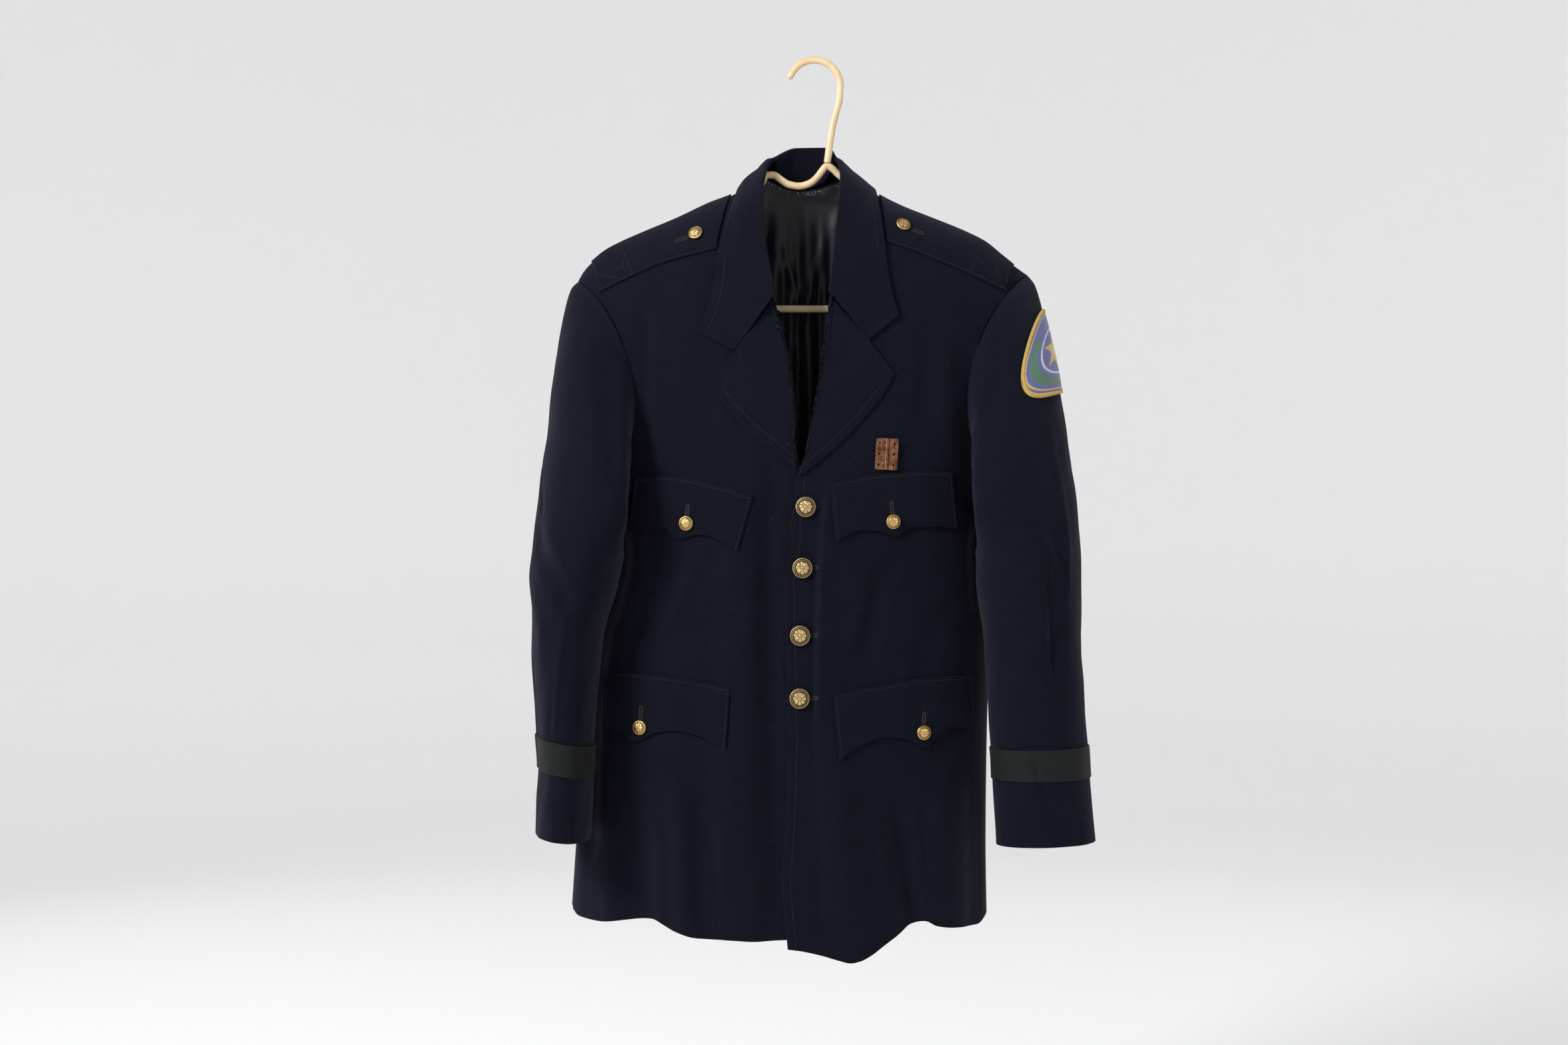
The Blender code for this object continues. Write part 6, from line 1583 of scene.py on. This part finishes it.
patch_faces = []
patch_points = []
patch_rim = PATCH_LIFTS[0] - 0.5 * ease((disc_radius - 0.97) / 0.03)
for patch_lift in (patch_rim[..., None], PATCH_LIFTS[1]):
    patch_points.append(shield_place(shield_across, shield_down, patch_lift)[0].reshape(-1, 3))
patch_facing = shield_place(shield_across, shield_down, 0.0)[1]
patch_quads = grid_quads(PATCH_GRID, PATCH_GRID)
a, b, _, d = patch_points[0][patch_quads[len(patch_quads) // 2]]
if np.cross(b - a, d - a) @ patch_facing[PATCH_GRID // 2, PATCH_GRID // 2] < 0:
    patch_quads = patch_quads[:, ::-1]
patch_count = PATCH_GRID * PATCH_GRID
index = np.arange(patch_count).reshape(PATCH_GRID, PATCH_GRID)
patch_border = np.concatenate([index[0, :-1], index[:-1, -1], index[-1, :0:-1], index[:0:-1, 0]])
patch_wall = np.stack([patch_border, np.roll(patch_border, -1), np.roll(patch_border, -1) + patch_count,
                       patch_border + patch_count], axis=1)
a, b, _, d = np.concatenate(patch_points)[patch_wall[PATCH_GRID // 2]]
if np.cross(b - a, d - a) @ (a - patch_points[0].mean(axis=0)) < 0:
    patch_wall = patch_wall[:, ::-1]
embroidery, embroidery_tree, embroidery_shader = new_material("embroidery", PATCH_GROUND, 0.62)
embroidery_dye = node(embroidery_tree, "ShaderNodeAttribute", attribute_name="dye").outputs["Color"]
embroidery_tree.links.new(embroidery_dye, embroidery_shader.inputs["Base Color"])
embroidery_where = object_place(embroidery_tree)
embroidery_wave = node(embroidery_tree, "ShaderNodeTexWave", {"Vector": embroidery_where, "Scale": 520.0,
                                                              "Distortion": 1.5}, bands_direction="DIAGONAL")
embroidery_tree.links.new(bump(embroidery_tree, embroidery_wave.outputs["Fac"], 0.0002, 0.8),
                          embroidery_shader.inputs["Normal"])
embroidery_shader.inputs["Sheen Weight"].default_value = 0.2
patch_piece = new_piece("shoulder_patch_shield", np.concatenate(patch_points),
                        np.concatenate([patch_quads, patch_quads[:, ::-1] + patch_count, patch_wall]), embroidery)
patch_dye = shield_dye(shield_across, shield_down).reshape(-1, 3)
dye_layer = patch_piece.data.attributes.new("dye", "FLOAT_COLOR", "POINT")
dye_layer.data.foreach_set("color", np.tile(np.column_stack([patch_dye, np.ones(patch_count)]), (2, 1))
                           .astype(np.float32).ravel())
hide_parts("shoulder_patch")
yellow_thread = thread("yellow_thread", (0.46, 0.31, 0.06))
merrow_angle = np.linspace(0, 2 * math.pi, 361)
merrow_across = np.sin(merrow_angle) * (1 + 0.06 * np.cos(2 * merrow_angle)) * 0.962
merrow_place, merrow_facing = shield_place(merrow_across, -np.cos(merrow_angle) * 0.962, PATCH_LIFTS[0] + 0.1)
topstitch("shoulder_patch_merrow", [(merrow_place, merrow_facing)], yellow_thread, 31, across=True, pitch=0.8,
          length=4.4, thickness=1.1)

# ---------------------------------------------------------------------------------------------
# Badge plate: the bare backing plate of a breast badge, one thin brown sheet with a half tube
# pressed down its middle and three holes on each side, hung a little crooked.
PLATE_SIZE = (24.0, 34.0)
PLATE_CENTRE = (76.4, -439.5)
PLATE_TILT = math.radians(3.0)
PLATE_WALL = 1.0
PLATE_CORNER = 2.2
PLATE_HOLES = [(side * 8.0, rise) for side in (-1, 1) for rise in (-11.5, 0.0, 11.5)]
PLATE_HOLE_RADIUS = 1.15
RIB_RADIUS = 2.4
RIB_STEPS = 18
plate_outline = []
for corner_x, corner_z, corner_start in ((1, 1, 0), (-1, 1, 90), (-1, -1, 180), (1, -1, 270)):
    for corner_angle in np.radians(np.linspace(corner_start, corner_start + 90, 8)):
        plate_outline.append((corner_x * (PLATE_SIZE[0] / 2 - PLATE_CORNER) + PLATE_CORNER * math.cos(corner_angle),
                              corner_z * (PLATE_SIZE[1] / 2 - PLATE_CORNER) + PLATE_CORNER * math.sin(corner_angle)))
plate_loops = [plate_outline] + [[(hole_at[0] + PLATE_HOLE_RADIUS * math.cos(t), hole_at[1] + PLATE_HOLE_RADIUS
                                   * math.sin(t)) for t in np.linspace(0, -2 * math.pi, 20, endpoint=False)]
                                 for hole_at in PLATE_HOLES]
plate_flat, plate_edges, plate_start = [], [], 0
for loop in plate_loops:
    plate_flat += [Vector(point) for point in loop]
    plate_edges += [(plate_start + i, plate_start + (i + 1) % len(loop)) for i in range(len(loop))]
    plate_start += len(loop)
flat_points, _, flat_faces = delaunay_2d_cdt(plate_flat, plate_edges, [], 1, 1e-4)[:3]
kept_faces = []
for flat_face in flat_faces:
    face_middle = sum((flat_points[i] for i in flat_face), Vector((0, 0))) / len(flat_face)
    if all((face_middle - Vector(hole_at)).length > PLATE_HOLE_RADIUS * 0.98 for hole_at in PLATE_HOLES):
        kept_faces.append(tuple(flat_face))
plate_seat = on_surface(trees["left"], np.linspace(-12, 12, 7) + PLATE_CENTRE[0], PLATE_CENTRE[1])[0][:, 1].min() - 0.9
plate_points = [(p.x, lift, p.y) for lift in (-PLATE_WALL, 0.0) for p in flat_points]
plate_count = len(flat_points)
plate_faces = [face if (flat_points[face[1]] - flat_points[face[0]]).cross(
    flat_points[face[2]] - flat_points[face[0]]) > 0 else face[::-1] for face in kept_faces]
side_edges = {}
for face in plate_faces:
    for i, j in zip(face, face[1:] + face[:1]):
        side_edges[i, j] = True
rim_edges = [(i, j) for i, j in side_edges if (j, i) not in side_edges]
plate_faces = (plate_faces + [tuple(i + plate_count for i in face[::-1]) for face in plate_faces]
               + [(i, i + plate_count, j + plate_count, j) for i, j in rim_edges])
rib_start = len(plate_points)
for rib_z in (PLATE_SIZE[1] / 2 - 0.4, -PLATE_SIZE[1] / 2 + 0.4):
    for rib_angle in np.linspace(0, math.pi, RIB_STEPS):
        plate_points.append((RIB_RADIUS * math.cos(rib_angle), -PLATE_WALL + 0.2 - 2.2 * math.sin(rib_angle), rib_z))
for k in range(RIB_STEPS):
    i, j = rib_start + k, rib_start + (k + 1) % RIB_STEPS
    plate_faces.append((i, i + RIB_STEPS, j + RIB_STEPS, j))
plate_faces.append(tuple(range(rib_start, rib_start + RIB_STEPS)))
plate_faces.append(tuple(range(rib_start + 2 * RIB_STEPS - 1, rib_start + RIB_STEPS - 1, -1)))
plate_local = np.array(plate_points)
plate_world = np.stack([PLATE_CENTRE[0] + plate_local[:, 0] * math.cos(PLATE_TILT)
                        + plate_local[:, 2] * math.sin(PLATE_TILT), plate_seat + plate_local[:, 1],
                        PLATE_CENTRE[1] + plate_local[:, 2] * math.cos(PLATE_TILT)
                        - plate_local[:, 0] * math.sin(PLATE_TILT)], axis=1)
copper, copper_tree, copper_shader = new_material("brown_copper", (0.20, 0.09, 0.05), 0.42, 1.0)
copper_blot = noise(copper_tree, object_place(copper_tree), 160.0, 5.0)
copper_tree.links.new(ramp(copper_tree, copper_blot, [(0.3, (0.055, 0.026, 0.016)), (0.55, (0.20, 0.09, 0.05)),
                                                      (0.78, (0.40, 0.22, 0.13))]), copper_shader.inputs["Base Color"])
copper_tree.links.new(bump(copper_tree, copper_blot, 0.0001, 0.6), copper_shader.inputs["Normal"])
plate_piece = new_piece("badge_plate_pressed", plate_world, plate_faces, copper)
plate_piece.data.set_sharp_from_angle(angle=math.radians(35))
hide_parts("badge_plate")

# ---------------------------------------------------------------------------------------------
# Hanger: a cream plastic tube bent into an open hook, two arms with a dip beside the neck, and a
# bar between the ends of the arms.
HANGER_TUBE = 8.0
HOOK_RADIUS = 29.0
HANGER_BAR_Z = -274.2
TUBE_SIDES = 28
HOOK_ARC = [(HOOK_RADIUS * math.cos(a), HANGER_TUBE / 2 - HOOK_RADIUS + HOOK_RADIUS * math.sin(a))
            for a in np.radians(np.linspace(156, -8, 24))]
HANGER_LINES = {
    "hanger_hook": [(-30, -16), *HOOK_ARC, (28, -40), (24.5, -53), (20.5, -70), (17.5, -88), (14.3, -110.9)],
    "hanger_arms": [(-214, -252), (-219, -238), (-217, -222), (-205, -208), (-185, -198), (-151, -182.3),
                    (-118, -168.4), (-90, -156.2), (-72, -146), (-60, -135), (-53, -124.5), (-46, -124.5),
                    (-38, -129.5), (-29, -135), (-17, -137), (-5.5, -134), (3.2, -127), (9, -119.5),
                    (14, -114.5), (19.5, -117), (27, -124), (40, -134.5), (60, -153), (80, -163.5), (97, -171.2),
                    (125, -181.2), (160, -195), (178, -205), (190, -218), (193, -234), (188, -250)],
    "hanger_bar": [(-213.8, -252.5), (-208, -266), (-200, -273), (-190, HANGER_BAR_Z), (-120, HANGER_BAR_Z),
                   (-10, HANGER_BAR_Z), (100, HANGER_BAR_Z), (165, HANGER_BAR_Z), (175, -273), (183.5, -265),
                   (187.8, -250.5)],
}
tube_plastic, plastic_tree, plastic_shader = new_material("cream_plastic", (0.62, 0.47, 0.27), 0.34)
plastic_cloud = noise(plastic_tree, object_place(plastic_tree), 60.0, 4.0)
plastic_tree.links.new(ramp(plastic_tree, plastic_cloud, [(0.3, (0.54, 0.40, 0.22)), (0.7, (0.66, 0.52, 0.32))]),
                       plastic_shader.inputs["Base Color"])
plastic_tree.links.new(bump(plastic_tree, plastic_cloud, 0.0002, 0.4), plastic_shader.inputs["Normal"])
plastic_shader.inputs["Subsurface Weight"].default_value = 0.08
plastic_shader.inputs["Subsurface Radius"].default_value = (0.004, 0.003, 0.002)
plastic_shader.inputs["Subsurface Scale"].default_value = 1.0
for hanger_node, hanger_line in HANGER_LINES.items():
    tube_line = path(hanger_line, 220)
    tube_along = unit(np.gradient(tube_line, axis=0))
    tube_across = np.stack([-tube_along[:, 1], tube_along[:, 0]], axis=1)
    tube_run = np.concatenate([[0], np.cumsum(np.linalg.norm(np.diff(tube_line, axis=0), axis=1))])
    tube_radius = np.full(len(tube_line), HANGER_TUBE / 2)
    if hanger_node == "hanger_hook":
        tube_radius *= np.sqrt(1 - (1 - np.clip((tube_run + 0.4) / 5, 0, 1)) ** 2)
    tube_angle = 2 * math.pi * np.arange(TUBE_SIDES) / TUBE_SIDES
    tube_points = np.stack([
        tube_line[:, None, 0] + tube_across[:, None, 0] * tube_radius[:, None] * np.cos(tube_angle)[None],
        tube_radius[:, None] * np.sin(tube_angle)[None],
        tube_line[:, None, 1] + tube_across[:, None, 1] * tube_radius[:, None] * np.cos(tube_angle)[None]], axis=-1)
    tube_faces = [(r * TUBE_SIDES + k, r * TUBE_SIDES + (k + 1) % TUBE_SIDES,
                   (r + 1) * TUBE_SIDES + (k + 1) % TUBE_SIDES, (r + 1) * TUBE_SIDES + k)
                  for r in range(len(tube_line) - 1) for k in range(TUBE_SIDES)]
    tube_faces.append(tuple(range(TUBE_SIDES))[::-1])
    tube_faces.append(tuple((len(tube_line) - 1) * TUBE_SIDES + k for k in range(TUBE_SIDES)))
    tube_piece = new_piece(f"{hanger_node}_tube", tube_points.reshape(-1, 3), tube_faces, tube_plastic)
    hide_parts(hanger_node)
